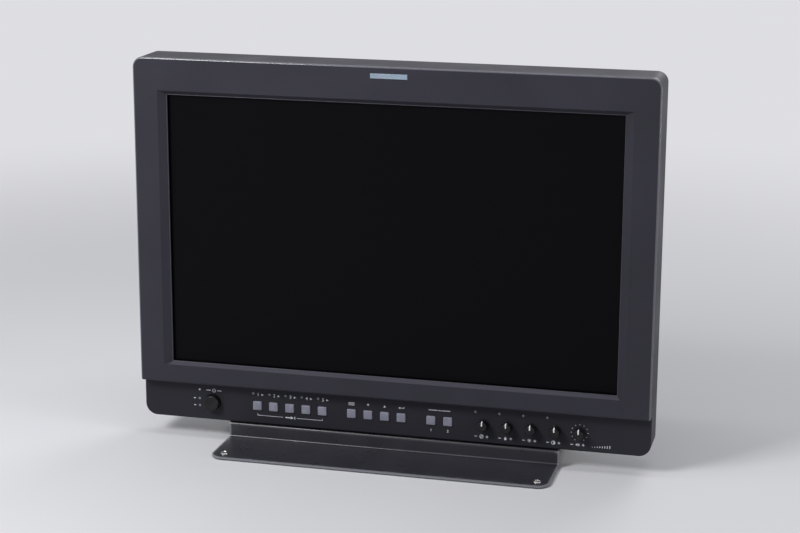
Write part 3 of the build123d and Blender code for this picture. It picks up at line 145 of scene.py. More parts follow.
def in_scene(name, data):
    """A new object in the scene, at the origin."""
    thing = bpy.data.objects.new(name, data)
    bpy.context.scene.collection.objects.link(thing)
    return thing


def aim_camera():
    """Places the camera on a sphere about the aim point, looking at its centre. For azimuth a and
    elevation e, back points from the aim point to the camera: (sin a cos e, -cos a cos e, sin e). right is
    level and square to it, up is their cross product, and the roll turns the two about back."""
    data = bpy.data.cameras.new("camera")
    data.lens = CAMERA_LENS
    camera = in_scene("camera", data)
    a, e = CAMERA_AZIMUTH, CAMERA_ELEVATION
    back = Vector((math.sin(a) * math.cos(e), -math.cos(a) * math.cos(e), math.sin(e)))
    right = Vector((math.cos(a), math.sin(a), 0))
    up = back.cross(right)
    roll = Matrix.Rotation(CAMERA_ROLL, 3, back)
    turn = Matrix((roll @ right, roll @ up, back)).transposed().to_4x4()
    aim = Vector((AIM_SIDE, bezel_face, head_bottom + AIM_HEIGHT)) * MM
    camera.matrix_world = Matrix.Translation(aim + back * CAMERA_DISTANCE * MM) @ turn
    return camera


bpy.context.scene.camera = aim_camera()
print("camera at", [round(v, 3) for v in bpy.context.scene.camera.matrix_world.translation])

# %% [markdown]
# A finish is a graph of nodes in Blender: patterns and small sums, linked to the sockets of one shader. It
# can be laid out by hand in the node editor. Here one function adds a node with its settings and its links,
# so that a finish reads from top to bottom. Colours are written as the hex codes that a screen uses, and the
# lamps at the end of the lesson are weak enough that a colour comes out about as it is written.

# %% Colour, and one function that adds a node


def paint(code):
    """An sRGB hex colour as the linear colour with alpha that Blender's sockets take: below 0.04045 a channel
    is divided by 12.92, and above it (c + 0.055) / 1.055 is raised to the power 2.4."""
    c = np.array([int(code[i:i + 2], 16) / 255 for i in (1, 3, 5)])
    linear = np.where(c <= 0.04045, c / 12.92, ((c + 0.055) / 1.055) ** 2.4)
    return (*linear.tolist(), 1.0)


def add(tree, kind, inputs=None, **settings):
    """Adds one node. settings go on the node itself. inputs maps a socket's name or number to a value, or to
    another node's output socket, which is then linked. A node stands for its own first output."""
    node = tree.nodes.new(kind)
    for name, value in settings.items():
        setattr(node, name, value)
    for socket, value in (inputs or {}).items():
        if isinstance(value, bpy.types.Node):
            value = value.outputs[0]
        if isinstance(value, bpy.types.NodeSocket):
            tree.links.new(value, node.inputs[socket])
        else:
            node.inputs[socket].default_value = value
    return node


def start(name, sockets):
    """A new material with one Principled shader, whose own sockets take the constants. Returns the material,
    its node tree, the shader, and the Object coordinates that patterns are laid out in."""
    material = bpy.data.materials.new(name)
    material.use_nodes = True
    tree = material.node_tree
    shader = tree.nodes["Principled BSDF"]
    for socket, value in sockets.items():
        shader.inputs[socket].default_value = value
    where = add(tree, "ShaderNodeTexCoord").outputs["Object"]
    return material, tree, shader, where


print("a middle grey is", [round(channel, 3) for channel in paint("#808080")])

# %% [markdown]
# Nearly every real finish has three things in common: a fine relief, a colour that wanders a little, and a
# roughness that wanders with handling. Pictures of such surfaces could be wrapped round the pieces, but noise
# has no seams and its size is known, so each of the three is one noise texture. Its scale is the number of
# grains per metre, worked out from the grain's size in millimetres. Noise seldom comes near 0 or 1, so the
# part of its range that it does use is stretched to the whole of the change. Ribs are a wave texture. It has
# 20 periods to a unit of its scale, so its scale is 1 / 20 of one over the distance between two ribs.

# %% Grain, mottle, handling and ribs
MOTTLE_RANGE = (0.28, 0.72)
HANDLING_RANGE = (0.3, 0.7)
WAVES_PER_SCALE = 20


def add_relief(tree, shader, where, size, height, detail=2.0):
    """Irregular grains, size mm apart and height mm deep, bent into the shader's normal."""
    noise = add(tree, "ShaderNodeTexNoise", {"Vector": where, "Scale": 1 / (size * MM), "Detail": detail})
    bump = add(tree, "ShaderNodeBump", {"Height": noise.outputs["Fac"], "Distance": height * MM})
    tree.links.new(bump.outputs["Normal"], shader.inputs["Normal"])


def add_mottle(tree, shader, where, size, colour, other):
    """The base colour wanders between two colours over patches size mm across. Returns the mix of the two."""
    noise = add(tree, "ShaderNodeTexNoise", {"Vector": where, "Scale": 1 / (size * MM), "Detail": 4.0})
    share = add(tree, "ShaderNodeMapRange", {"Value": noise.outputs["Fac"], "From Min": MOTTLE_RANGE[0],
                                             "From Max": MOTTLE_RANGE[1]})
    mix = add(tree, "ShaderNodeMix", {0: share, 6: paint(colour), 7: paint(other)}, data_type="RGBA")
    tree.links.new(mix.outputs[2], shader.inputs["Base Color"])
    return mix


def add_handling(tree, shader, where, size, low, high):
    """The roughness wanders between low and high over patches size mm across, as fingers polish a surface."""
    noise = add(tree, "ShaderNodeTexNoise", {"Vector": where, "Scale": 1 / (size * MM), "Detail": 3.0})
    rough = add(tree, "ShaderNodeMapRange", {"Value": noise.outputs["Fac"], "From Min": HANDLING_RANGE[0],
                                             "From Max": HANDLING_RANGE[1], "To Min": low, "To Max": high})
    tree.links.new(rough.outputs["Result"], shader.inputs["Roughness"])


def add_lines(tree, shader, where, spacing, height, direction):
    """Straight ribs, spacing mm apart along a direction and height mm high, bent into the normal."""
    wave = add(tree, "ShaderNodeTexWave", {"Vector": where, "Scale": 1 / (spacing * MM) / WAVES_PER_SCALE},
               bands_direction=direction)
    bump = add(tree, "ShaderNodeBump", {"Height": wave.outputs["Fac"], "Distance": height * MM})
    tree.links.new(bump.outputs["Normal"], shader.inputs["Normal"])


def finish(name, sockets, mottle, handling, relief=None):
    """A material with constants in its shader's own sockets, a mottle (size, colour, other), a handling
    (size, low, high) and, where it has one, a relief (size, height)."""
    material, tree, shader, where = start(name, sockets)
    add_mottle(tree, shader, where, *mottle)
    add_handling(tree, shader, where, *handling)
    if relief:
        add_relief(tree, shader, where, *relief)
    return material


print("noise is used from", MOTTLE_RANGE[0], "to", MOTTLE_RANGE[1])

# %% [markdown]
# The case is moulded from ABS. Its mould was etched by sparks, which leaves a fine even texture that hides
# scratches and kills reflections: the case looks matt and charcoal, with a broad soft sheen. As geometry the
# grain would take millions of faces, so it only bends the light. The real grain is about 0.2 mm, finer than
# the render can show, so it is drawn at 0.9 mm and kept shallow.

# %% Plastics
GRAIN_DRAWN = 0.9


def spark_textured_abs(name, colour, other, grain=GRAIN_DRAWN):
    """Moulded ABS from a spark-etched mould: matt, slightly mottled, with a broad soft highlight. The etching
    scatters most of what a smooth face would reflect, so the specular level is low."""
    return finish(name, {"IOR": 1.53, "Specular IOR Level": 0.17}, (70, colour, other), (45, 0.46, 0.58),
                  (grain, 0.03))


def silicone_key(name, colour, other):
    """A pale moulded key top: smooth, slightly waxy, a little light passing under its skin."""
    return finish(name, {"IOR": 1.43, "Subsurface Weight": 0.15, "Subsurface Scale": 0.6 * MM},
                  (6, colour, other), (5, 0.38, 0.5), (0.5, 0.008))


def satin_black_plastic(name, colour, other):
    """Small turned or moulded controls in black: satin, polished where fingers turn them."""
    return finish(name, {"IOR": 1.5, "Specular IOR Level": 0.3}, (5, colour, other), (3, 0.28, 0.42),
                  (0.5, 0.01))


def ribbed_lens_acrylic(name, colour, other):
    """Frosted acrylic over a lamp: pale, soft, with the fine upright ribs that spread the light. Real ribs
    are 0.5 mm apart and are drawn at 1 mm."""
    material, tree, shader, where = start(name, {"IOR": 1.49, "Roughness": 0.32, "Subsurface Weight": 0.3,
                                                 "Subsurface Scale": 1.5 * MM})
    add_mottle(tree, shader, where, 12, colour, other)
    add_lines(tree, shader, where, 1.0, 0.12, "X")
    return material


def moulded_rubber(name):
    """Die-cut rubber pads: dull black with a bloom like dust."""
    return finish(name, {"IOR": 1.52, "Specular IOR Level": 0.3}, (8, "#1a1a1b", "#29292a"), (6, 0.75, 0.9),
                  (0.8, 0.03))


case_abs = spark_textured_abs("spark_textured_abs_charcoal", "#2b2a32", "#32313a")
# The panel's plastic is the case's, painted a little darker: painted shade, for the overhang of the front
# frame above the recessed panel.
panel_abs_painted_shade = spark_textured_abs("spark_textured_abs_panel_painted_shade", "#212127", "#26262d", grain=0.7)
key_silicone = silicone_key("silicone_key_grey", "#7b7c8b", "#898a98")
control_black = satin_black_plastic("satin_black_control", "#0d0d0f", "#151517")
socket_black = satin_black_plastic("socket_black_nylon", "#1b1b1d", "#242427")
tally_acrylic = ribbed_lens_acrylic("ribbed_tally_acrylic", "#8191a4", "#93a2b2")
lamp_acrylic = ribbed_lens_acrylic("lamp_window_acrylic", "#6d6f78", "#80828c")
pad_rubber = moulded_rubber("die_cut_rubber")
print("plastics:", [m.name for m in bpy.data.materials])

# %% [markdown]
# The front frame is the same plastic, but its outer edge has no etching: hands lift the monitor there, and
# the mould was polished at the round. In the photograph that edge draws a thin bright line along the top,
# round the corners and down the right side. Besides being smoother, the edge is given a lighter colour: a
# painted highlight. A second material could make it, but the faces of the CAD mesh run on down the sides, so
# the edge is told by its place. How near a point is to the outline is measured from an inner rectangle, one
# corner
# radius smaller all round: along the outline, corners too, that distance is the corner's radius. The lower
# side of the chamfer that leads in to the screen faces up, and it is given a lighter colour too: painted
# light, so it is the palest part of the frame. The lower side ends at the mitres: a point of it lies further
# below the opening than beside it.

# %% The opening of the front frame
CHAMFER_DEPTH = 4.0
NARROWEST_BORDER = 10
frame_points = points_of("front_bezel")
bezel_high = box_of(frame_points)[1]
chamfer_end = frame_points[np.abs(frame_points[:, 1] - bezel_face - CHAMFER_DEPTH) < 0.05]
opening_low, opening_high = box_of(chamfer_end[np.abs(chamfer_end[:, 0]) < bezel_high[0] - NARROWEST_BORDER])
opening_half = (opening_high - opening_low) / 2
opening_centre = (opening_low + opening_high) / 2
print("opening", (2 * opening_half).round(1).tolist())

# %% The polished edge of the front frame, with painted highlight and painted light
EDGE_BAND = 1.3
EDGE_ROUGHNESS = 0.17
# How strongly the upward-facing lower chamfer is mixed towards the light edge colour: painted light.
CHAMFER_PAINTED_LIGHT = 0.45
FRAME_CORNER = 8.5
CHAMFER_STARTS = 0.3


def reach_past(tree, one, one_limit, other, other_limit):
    """How far a point lies past two limits (mm): the length of (one less its limit, other less its limit),
    where what is negative counts as 0."""
    both = add(tree, "ShaderNodeCombineXYZ", {0: one, 1: other})
    past = add(tree, "ShaderNodeVectorMath", {0: both, 1: (one_limit * MM, other_limit * MM, 0)},
               operation="SUBTRACT")
    past = add(tree, "ShaderNodeVectorMath", {0: past, 1: (0, 0, 0)}, operation="MAXIMUM")
    return add(tree, "ShaderNodeVectorMath", {0: past}, operation="LENGTH").outputs["Value"]


def outer_edge(tree, place, side):
    """1 on the polished edge, 0 elsewhere: the point is less than EDGE_BAND behind the face, and its reach
    past the inner rectangle is over the corner's radius less EDGE_BAND."""
    reach = reach_past(tree, side, bezel_high[0] - FRAME_CORNER, place["Z"], bezel_high[2] - FRAME_CORNER)
    outer = add(tree, "ShaderNodeMath", {0: reach, 1: (FRAME_CORNER - EDGE_BAND) * MM},
                operation="GREATER_THAN")
    near = add(tree, "ShaderNodeMath", {0: place["Y"], 1: (bezel_face + EDGE_BAND) * MM},
               operation="LESS_THAN")
    return add(tree, "ShaderNodeMath", {0: near, 1: outer}, operation="MULTIPLY")


def dusty_chamfer(tree, place, side):
    """The painted light share on the lower chamfer, 0 elsewhere: the lower chamfer faces up, so it is painted
    lighter. The point is behind the face, and it lies further below the opening than beside it."""
    below = add(tree, "ShaderNodeMath", {0: opening_low[2] * MM, 1: place["Z"]}, operation="SUBTRACT")
    beyond = add(tree, "ShaderNodeMath", {0: side, 1: opening_half[0] * MM}, operation="SUBTRACT")
    beyond = add(tree, "ShaderNodeMath", {0: beyond, 1: 0.0}, operation="MAXIMUM")
    lower = add(tree, "ShaderNodeMath", {0: below, 1: beyond}, operation="GREATER_THAN")
    behind = add(tree, "ShaderNodeMath", {0: place["Y"], 1: (bezel_face + CHAMFER_STARTS) * MM},
                 operation="GREATER_THAN")
    chamfer_light_mask = add(tree, "ShaderNodeMath", {0: lower, 1: behind}, operation="MULTIPLY")
    return add(tree, "ShaderNodeMath", {0: chamfer_light_mask, 1: CHAMFER_PAINTED_LIGHT}, operation="MULTIPLY")


def polished_edge_abs(name, colour, other, edge_highlight_colour):
    """Spark-textured ABS whose front outer edge is smooth and glossy as if lacquered, and a little lighter as
    a painted highlight, and whose lower chamfer, which faces up, is a little lighter as painted light."""
    material = spark_textured_abs(name, colour, other)
    tree = material.node_tree
    shader = tree.nodes["Principled BSDF"]
    place = add(tree, "ShaderNodeSeparateXYZ", {0: add(tree, "ShaderNodeTexCoord").outputs["Object"]}).outputs
    side = add(tree, "ShaderNodeMath", {0: place["X"]}, operation="ABSOLUTE")
    edge = outer_edge(tree, place, side)
    rough = shader.inputs["Roughness"].links[0].from_socket
    smooth = add(tree, "ShaderNodeMix", {0: edge, 2: rough, 3: EDGE_ROUGHNESS}, data_type="FLOAT")
    tree.links.new(smooth.outputs[0], shader.inputs["Roughness"])
    etched = add(tree, "ShaderNodeMath", {0: 1.0, 1: edge}, operation="SUBTRACT")
    tree.links.new(etched.outputs[0], shader.inputs["Normal"].links[0].from_node.inputs["Strength"])
    shader.inputs["Coat Roughness"].default_value = 0.15
    tree.links.new(edge.outputs[0], shader.inputs["Coat Weight"])
    # The edge and the lower chamfer are mixed towards a light colour: a painted highlight on the edge and
    # painted light on the upward-facing chamfer.
    share = add(tree, "ShaderNodeMath", {0: edge, 1: dusty_chamfer(tree, place, side)}, operation="MAXIMUM")
    base = shader.inputs["Base Color"].links[0].from_socket
    lighter = add(tree, "ShaderNodeMix", {0: share, 6: base, 7: paint(edge_highlight_colour)}, data_type="RGBA")
    tree.links.new(lighter.outputs[2], shader.inputs["Base Color"])
    return material


# The last colour is that of the painted highlight on the edge and of the painted light on the chamfer.
frame_abs = polished_edge_abs("polished_edge_painted_light_abs_charcoal", "#2b2a32", "#32313a", "#55545f")
print("front frame:", frame_abs.name)

# %% [markdown]
# The stand is bent from steel sheet and powder coated. Powder melts into a skin with a fine ripple, like
# orange peel, and it is satin rather than matt, so the bends draw bright lines. Along the front of the foot,
# where things slide over it, broken scuffs wear the skin pale. Right at the cut edge a thin continuous pale
# band is a painted highlight, for the light that the edge catches. Such wear is often painted on a picture by
# hand. Here the distance to the edge says where both go, found as on the front frame, from a rectangle one
# corner radius smaller.

# %% Painted steel
stand_low, stand_high = box_of(points_of("stand_base"))
STAND_CORNER = 10.0
# The painted highlight along the cut edge: where it starts, where it is full, and how far it goes to the pale
# colour.
HIGHLIGHT_BAND, HIGHLIGHT_FULL, HIGHLIGHT_SHARE = 1.6, 1.1, 0.75
SCUFF_REACH, SCUFF_SIZE, SCUFF_STRETCH = 5, 9, 5.0
SCUFF_RANGE = (0.58, 0.72)


def satin_powder_coat(name, colour, other, scuff_and_highlight):
    """Powder-coated steel: satin skin with a fine ripple, drawn at 1.3 mm. The last millimetre and a half
    before the cut edge is painted pale as a highlight, and broken scuffs of wear, long in x, start 5 mm from
    it."""
    material, tree, shader, where = start(name, {"IOR": 1.5, "Specular IOR Level": 0.5})
    mottle = add_mottle(tree, shader, where, 40, colour, other)
    add_handling(tree, shader, where, 25, 0.25, 0.36)
    add_relief(tree, shader, where, 1.3, 0.02)
    place = add(tree, "ShaderNodeSeparateXYZ", {0: where}).outputs
    side = add(tree, "ShaderNodeMath", {0: place["X"]}, operation="ABSOLUTE")
    ahead = add(tree, "ShaderNodeMath", {0: place["Y"], 1: -1.0}, operation="MULTIPLY")
    reach = reach_past(tree, side, stand_high[0] - STAND_CORNER, ahead, -stand_low[1] - STAND_CORNER)
    # A band within 1.6 mm of the cut edge, full from 1.1 mm on, is mixed three quarters of the way to the
    # pale colour: a painted highlight.
    edge = add(tree, "ShaderNodeMapRange", {"Value": reach, "From Min": (STAND_CORNER - HIGHLIGHT_BAND) * MM,
                                            "From Max": (STAND_CORNER - HIGHLIGHT_FULL) * MM,
                                            "To Max": HIGHLIGHT_SHARE})
    band = add(tree, "ShaderNodeMapRange", {"Value": reach, "From Min": (STAND_CORNER - SCUFF_REACH) * MM,
                                            "From Max": STAND_CORNER * MM})
    streaks = add(tree, "ShaderNodeMapping", {"Vector": where, "Scale": (1.0, SCUFF_STRETCH, SCUFF_STRETCH)})
    scuffs = add(tree, "ShaderNodeTexNoise", {"Vector": streaks, "Scale": 1 / (SCUFF_SIZE * MM),
                                              "Detail": 6.0})
    spots = add(tree, "ShaderNodeMapRange", {"Value": scuffs.outputs["Fac"], "From Min": SCUFF_RANGE[0],
                                             "From Max": SCUFF_RANGE[1]})
    worn = add(tree, "ShaderNodeMath", {0: band, 1: spots}, operation="MULTIPLY")
    share = add(tree, "ShaderNodeMath", {0: worn, 1: edge}, operation="MAXIMUM")
    mix = add(tree, "ShaderNodeMix", {0: share, 6: mottle.outputs[2], 7: paint(scuff_and_highlight)}, data_type="RGBA")
    tree.links.new(mix.outputs[2], shader.inputs["Base Color"])
    return material


# The pale colour is that of the worn scuffs, and of the painted highlight along the cut edge.
stand_coat = satin_powder_coat("satin_powder_coat_grey", "#29292f", "#313138", "#85858d")
print("stand painted with", stand_coat.name)

# %% [markdown]
# Bare metal is told apart by its tint and its polish: zinc plating is bluish and cloudy, nickel is warm and
# bright, blackened steel is dark and oily, gold is for contacts. A metal's colour is its reflection, so
# metallic is 1 and the rest is done by roughness and fine relief.

# %% Metals


def plated_metal(name, colour, other, low, high, patch=14, relief=0.006):
    """A plated metal skin: coloured reflections, clouded over patches of a few millimetres or centimetres."""
    return finish(name, {"Metallic": 1.0}, (patch, colour, other), (patch / 2, low, high), (0.6, relief))


zinc = plated_metal("zinc_plated_steel", "#a9adb3", "#c0c3c6", 0.34, 0.5, relief=0.012)
bright_steel = plated_metal("nickel_plated_screw_steel", "#b5b4b4", "#cfcdca", 0.22, 0.34, patch=4)
nickel = plated_metal("nickel_plated_brass", "#bfb9ae", "#d2ccc0", 0.16, 0.28, patch=5)
black_steel = plated_metal("blackened_steel", "#303032", "#3d3d40", 0.36, 0.5, patch=4)
gold = plated_metal("gold_plated_contact", "#d6b263", "#e3c47c", 0.18, 0.3, patch=3)
print("metals:", zinc.name, bright_steel.name, nickel.name, black_steel.name, gold.name)

# %% [markdown]
# The screen is a liquid crystal cell behind a polariser with an anti-glare skin. Switched off it is the
# darkest thing on the monitor: almost no colour of its own, and a weak, wide reflection. A sheet of glass
# could be laid over it, but such screens have none: the skin is the cell's own roughness. Round the picture
# runs a border of opaque black ink, a shade different from the cell.

# %% Screen
cell_middle = np.mean(box_of(points_of("lcd_cell")), axis=0)
PICTURE_WIDTH, PICTURE_HEIGHT = 370.2, 222.2


def anti_glare_cell(name):
    """A dark cell under an etched skin: near black, faintly blue where the picture is, with a fine sparkle
    drawn at 0.9 mm."""
    material, tree, shader, where = start(name, {"IOR": 1.5, "Specular IOR Level": 0.06})
    place = add(tree, "ShaderNodeSeparateXYZ", {0: where}).outputs
    inside = []
    for axis, centre, half in (("X", cell_middle[0], PICTURE_WIDTH / 2),
                               ("Z", cell_middle[2], PICTURE_HEIGHT / 2)):
        away = add(tree, "ShaderNodeMath", {0: place[axis], 1: centre * MM}, operation="SUBTRACT")
        away = add(tree, "ShaderNodeMath", {0: away}, operation="ABSOLUTE")
        inside.append(add(tree, "ShaderNodeMath", {0: away, 1: half * MM}, operation="LESS_THAN"))
    both = add(tree, "ShaderNodeMath", {0: inside[0], 1: inside[1]}, operation="MULTIPLY")
    mix = add(tree, "ShaderNodeMix", {0: both, 6: paint("#020202"), 7: paint("#060609")}, data_type="RGBA")
    tree.links.new(mix.outputs[2], shader.inputs["Base Color"])
    add_handling(tree, shader, where, 80, 0.3, 0.36)
    add_relief(tree, shader, where, GRAIN_DRAWN, 0.004)
    return material


def optical_film(name, colour, other, clear):
    """Sheets behind the screen: milky film or clear acrylic, with fine lines, drawn 2 mm apart, that steer
    the light."""
    material, tree, shader, where = start(name, {"IOR": 1.49, "Transmission Weight": clear,
                                                 "Roughness": 0.25})
    add_mottle(tree, shader, where, 60, colour, other)
    add_lines(tree, shader, where, 2.0, 0.05, "Z")
    return material


screen_cell = anti_glare_cell("anti_glare_lcd_cell")
diffuser_film = optical_film("diffuser_film", "#e4e4df", "#edede9", 0.1)
guide_acrylic = optical_film("clear_guide_acrylic", "#e6eef0", "#f2f7f8", 0.85)
lamp_glass = optical_film("phosphor_lamp_glass", "#eceae2", "#f6f5ef", 0.0)
print("screen:", screen_cell.name)

# %% [markdown]
# Inside are circuit boards. A board is glass cloth under green solder mask, with the copper tracks showing
# through as paler green. Its components stand off both faces, so one material can tell them apart by depth:
# between the board's two faces it is green, and elsewhere it is black moulding and bare metal.

# %% Circuit boards
BOARD_END = 0.96
SKIN = 0.1


def board_span(node):
    """Front and back face of the board in a node: the two y at which its points reach furthest sideways."""
    points = points_of(node)
    widest = points[np.abs(points[:, 0] - points[:, 0].mean()) > BOARD_END * np.ptp(points[:, 0]) / 2]
    return widest[:, 1].min(), widest[:, 1].max()


def solder_masked_board(name, node):
    """Green board with tracks drawn 2 mm apart, and black or grey components in front of and behind it."""
    front, back = board_span(node)
    material, tree, shader, where = start(name, {"IOR": 1.55, "Roughness": 0.35})
    tracks = add(tree, "ShaderNodeTexBrick", {"Vector": where, "Scale": 1 / (8 * MM), "Mortar Size": 0.06,
                                              "Color1": paint("#0f4a2a"), "Color2": paint("#145433"),
                                              "Mortar": paint("#2a7a4c")})
    cells = add(tree, "ShaderNodeTexVoronoi", {"Vector": where, "Scale": 1 / (14 * MM)})
    shade = add(tree, "ShaderNodeMix", {0: cells.outputs["Distance"], 6: paint("#17181a"),
                                        7: paint("#5c6066")}, data_type="RGBA")
    depth = add(tree, "ShaderNodeSeparateXYZ", {0: where}).outputs["Y"]
    after = add(tree, "ShaderNodeMath", {0: depth, 1: (front - SKIN) * MM}, operation="GREATER_THAN")
    before = add(tree, "ShaderNodeMath", {0: depth, 1: (back + SKIN) * MM}, operation="LESS_THAN")
    on_board = add(tree, "ShaderNodeMath", {0: after, 1: before}, operation="MULTIPLY")
    mix = add(tree, "ShaderNodeMix", {0: on_board, 6: shade.outputs[2], 7: tracks.outputs["Color"]},
              data_type="RGBA")
    tree.links.new(mix.outputs[2], shader.inputs["Base Color"])
    add_relief(tree, shader, where, 1.5, 0.03)
    return material


def speaker_cone(name):
    """Pressed black paper with the fibres showing, in front of a grey ferrite magnet."""
    return finish(name, {"Specular IOR Level": 0.25}, (3, "#1d1d1e", "#323133"), (5, 0.7, 0.9),
                  (0.7, 0.05, 6.0))


cone_paper = speaker_cone("pressed_paper_cone")
boards = {node: solder_masked_board("solder_masked_" + node, node)
          for node in ("main_board", "power_board", "inverter_board", "control_board", "tally_board")}
print("boards:", {node: [round(v, 1) for v in board_span(node)] for node in boards})

# %% [markdown]
# Every CAD piece now gets its finish. A CAD node keeps its mesh, and only the material in its slots changes.

# %% Dress the CAD nodes
finishes = {
    frame_abs: ["front_bezel"],
    case_abs: ["cabinet", "rear_cover"],
    panel_abs_painted_shade: ["control_panel"],
    stand_coat: ["stand_base", "hinge_brackets", "tilt_arms"],
    screen_cell: ["lcd_cell"],
    tally_acrylic: ["tally_lens"],
    lamp_acrylic: ["lamp_windows"],
    control_black: ["power_button"],
    pad_rubber: ["foot_pads"],
    zinc: ["lcd_frame", "backlight_tray", "panel_rails", "chassis_plate", "connector_panel", "mounting_posts",
           "friction_washers"],
    bright_steel: ["hinge_pins", "hinge_nuts"],
    nickel: ["bnc_jacks", "audio_jacks", "d_sub_ports"],
    socket_black: ["ac_inlet", "dc_inlet", "power_switch", "button_switches", "knob_potentiometers"],
    diffuser_film: ["diffuser_stack"],
    guide_acrylic: ["light_guide"],
    lamp_glass: ["backlight_lamps"],
    cone_paper: ["speaker"],
}
finishes.update({material: [node] for node, material in boards.items()})


def dress(node, material):
    """Puts one material in every material slot of a CAD node."""
    mesh = frame["nodes"][node].data
    mesh.materials.clear()
    mesh.materials.append(material)


for material, nodes in finishes.items():
    for node in nodes:
        dress(node, material)
print("dressed", sum(len(nodes) for nodes in finishes.values()), "of", len(frame["nodes"]), "CAD nodes")

# %% [markdown]
# The small pieces that follow are surfaces worked out with numpy. A form is a pair of arrays: points in
# millimetres, and the faces that join them four by four. Its local x and y lie in the face it sits on, and z
# points out of it, so the same screw can be put on the top, the front or the back of the monitor.

# %% Forms and how they become objects
SHARP_ANGLE = math.radians(35)
MERGE_DISTANCE = 0.002


def surface(x, y, z):
    """The points and quads of a grid of points. x, y and z are arrays of rows and columns."""
    x, y, z = np.broadcast_arrays(x, y, z)
    rows, columns = x.shape
    corner = (np.arange(rows - 1)[:, None] * columns + np.arange(columns - 1)).ravel()
    quads = np.stack([corner, corner + 1, corner + columns + 1, corner + columns], axis=1)
    return np.stack([x, y, z], axis=-1).reshape(-1, 3), quads


def joined(forms):
    """Several forms as one: the faces of each count on from the points of the last."""
    starts = np.cumsum([0] + [len(points) for points, _ in forms[:-1]])
    return (np.concatenate([points for points, _ in forms]),
            np.concatenate([quads + first for (_, quads), first in zip(forms, starts)]))


FRONT = np.array([[1, 0, 0], [0, 0, -1], [0, 1, 0]])
BACK = np.array([[-1, 0, 0], [0, 0, 1], [0, 1, 0]])
TOP = np.eye(3)
print("each direction is a turn, not a mirror:",
      [round(float(np.linalg.det(turn))) for turn in (FRONT, BACK, TOP)])


def placed(form, turn, places):
    """One turned copy of the form at each place: every point is added to every place."""
    points, quads = form
    places = np.asarray(places, float).reshape(-1, 3)
    moved = (places[:, None, :] + (points @ turn.T)[None]).reshape(-1, 3)
    counted = quads[None] + (np.arange(len(places)) * len(points))[:, None, None]
    return moved, counted.reshape(-1, 4)


def make_piece(name, form, body, material):
    """Turns a form into an object that rides on a CAD body. Points that meet at seams and poles are merged,
    and the faces are turned outwards. Edges sharper than SHARP_ANGLE stay crisp."""
    points, quads = form
    mesh = bpy.data.meshes.new(name)
    mesh.from_pydata((points * MM).tolist(), [], quads.tolist())
    shape = bmesh.new()
    shape.from_mesh(mesh)
    bmesh.ops.remove_doubles(shape, verts=shape.verts, dist=MERGE_DISTANCE * MM)
    bmesh.ops.recalc_face_normals(shape, faces=shape.faces)
    shape.to_mesh(mesh)
    shape.free()
    mesh.polygons.foreach_set("use_smooth", np.ones(len(mesh.polygons), bool))
    mesh.set_sharp_from_angle(angle=SHARP_ANGLE)
    mesh.materials.append(material)
    piece = in_scene(name, mesh)
    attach(piece, body)
    return piece


# %% [markdown]
# Two kinds of surface make most of the pieces. A turned one carries a profile of radii and heights once round
# the axis, as a lathe does. A capped one carries a profile of insets and heights round a rectangle with round
# corners: a key, a blade, a plate. Where the profile reaches the middle, the surface closes by itself.

# %% Turned and capped forms


def turned(profile, sides, flutes=0, depth=0.0, share=0.0):
    """Each row of the profile, radius r at height h, goes round the axis: x = r cos a, y = r sin a, z = h.
    Flutes take up to depth, times the row's share, off the radius: r - depth share (1/2 - cos(n a) / 2)^3."""
    radius, height = np.array(profile, float).T[:, :, None]
    angle = np.linspace(0, 2 * np.pi, sides + 1)[None, :]
    groove = (0.5 - 0.5 * np.cos(flutes * angle)) ** 3
    radius = radius - depth * groove * np.reshape(share, (-1, 1))
    return surface(radius * np.cos(angle), radius * np.sin(angle), height + 0 * angle)


def capped(half_width, half_height, corner, profile, taper=0.0, steps=6):
    """A rectangle with round corners, shrunk by each row's inset and lifted to its height. A point is the
    corner's centre plus the corner's radius times (cos a, sin a). taper moves the lower corners inwards."""
    inset, height = np.array(profile, float).T[:, :, None]
    quarter = np.linspace(0, np.pi / 2, steps + 1)
    angle = np.concatenate([quarter + k * np.pi / 2 for k in range(4)] + [[0.0]])[None, :]
    side = np.repeat([[1, 1], [-1, 1], [-1, -1], [1, -1]], steps + 1, axis=0)
    side = np.concatenate([side, side[:1]]).T[:, None, :]
    radius = np.maximum(corner - inset, 0)
    across = np.maximum(half_width - inset - radius, 0) - taper * (side[1] < 0) * (inset < half_width)
    up = np.maximum(half_height - inset - radius, 0)
    return surface(side[0] * np.maximum(across, 0) + radius * np.cos(angle),
                   side[1] * up + radius * np.sin(angle), height + 0 * angle)


def round_edge(radius, top, steps=4):
    """Profile rows for an edge rounded with a quarter circle: inset r (1 - cos t) and height
    top - r (1 - sin t)."""
    t = np.linspace(0, np.pi / 2, steps + 1)
    return list(zip(radius * (1 - np.cos(t)), top - radius * (1 - np.sin(t))))


print("a capped form has", len(capped(1, 1, 0.2, [(1, 0), (0, 0)])[1]), "faces between two rows")

# %% [markdown]
# The key tops are pale squares. A real key is crowned a little and its edge is rounded, which is what draws
# the soft bright line along its upper side. A bevel could round the edge, but it makes no crown, so both are
# rows of one profile. The crown is a parabola over the distance from the edge. Each cap stands for its CAD
# node and moves with it.

# %% Key tops
KEY_EDGE = 0.7
KEY_CROWN = 0.25
KEY_CORNER = 0.8
KEY_SKIRT = 4.0
keys = [name for name in frame["nodes"] if "_button_" in name]


def shown_part(node, depth):
    """The box of a control's points that lie in front of a depth behind the panel's face, and the box's
    middle on that face."""
    points = points_of(node)
    low, high = box_of(points[points[:, 1] < panel_face + depth])
    return low, high, ((low[0] + high[0]) / 2, panel_face, (low[2] + high[2]) / 2)


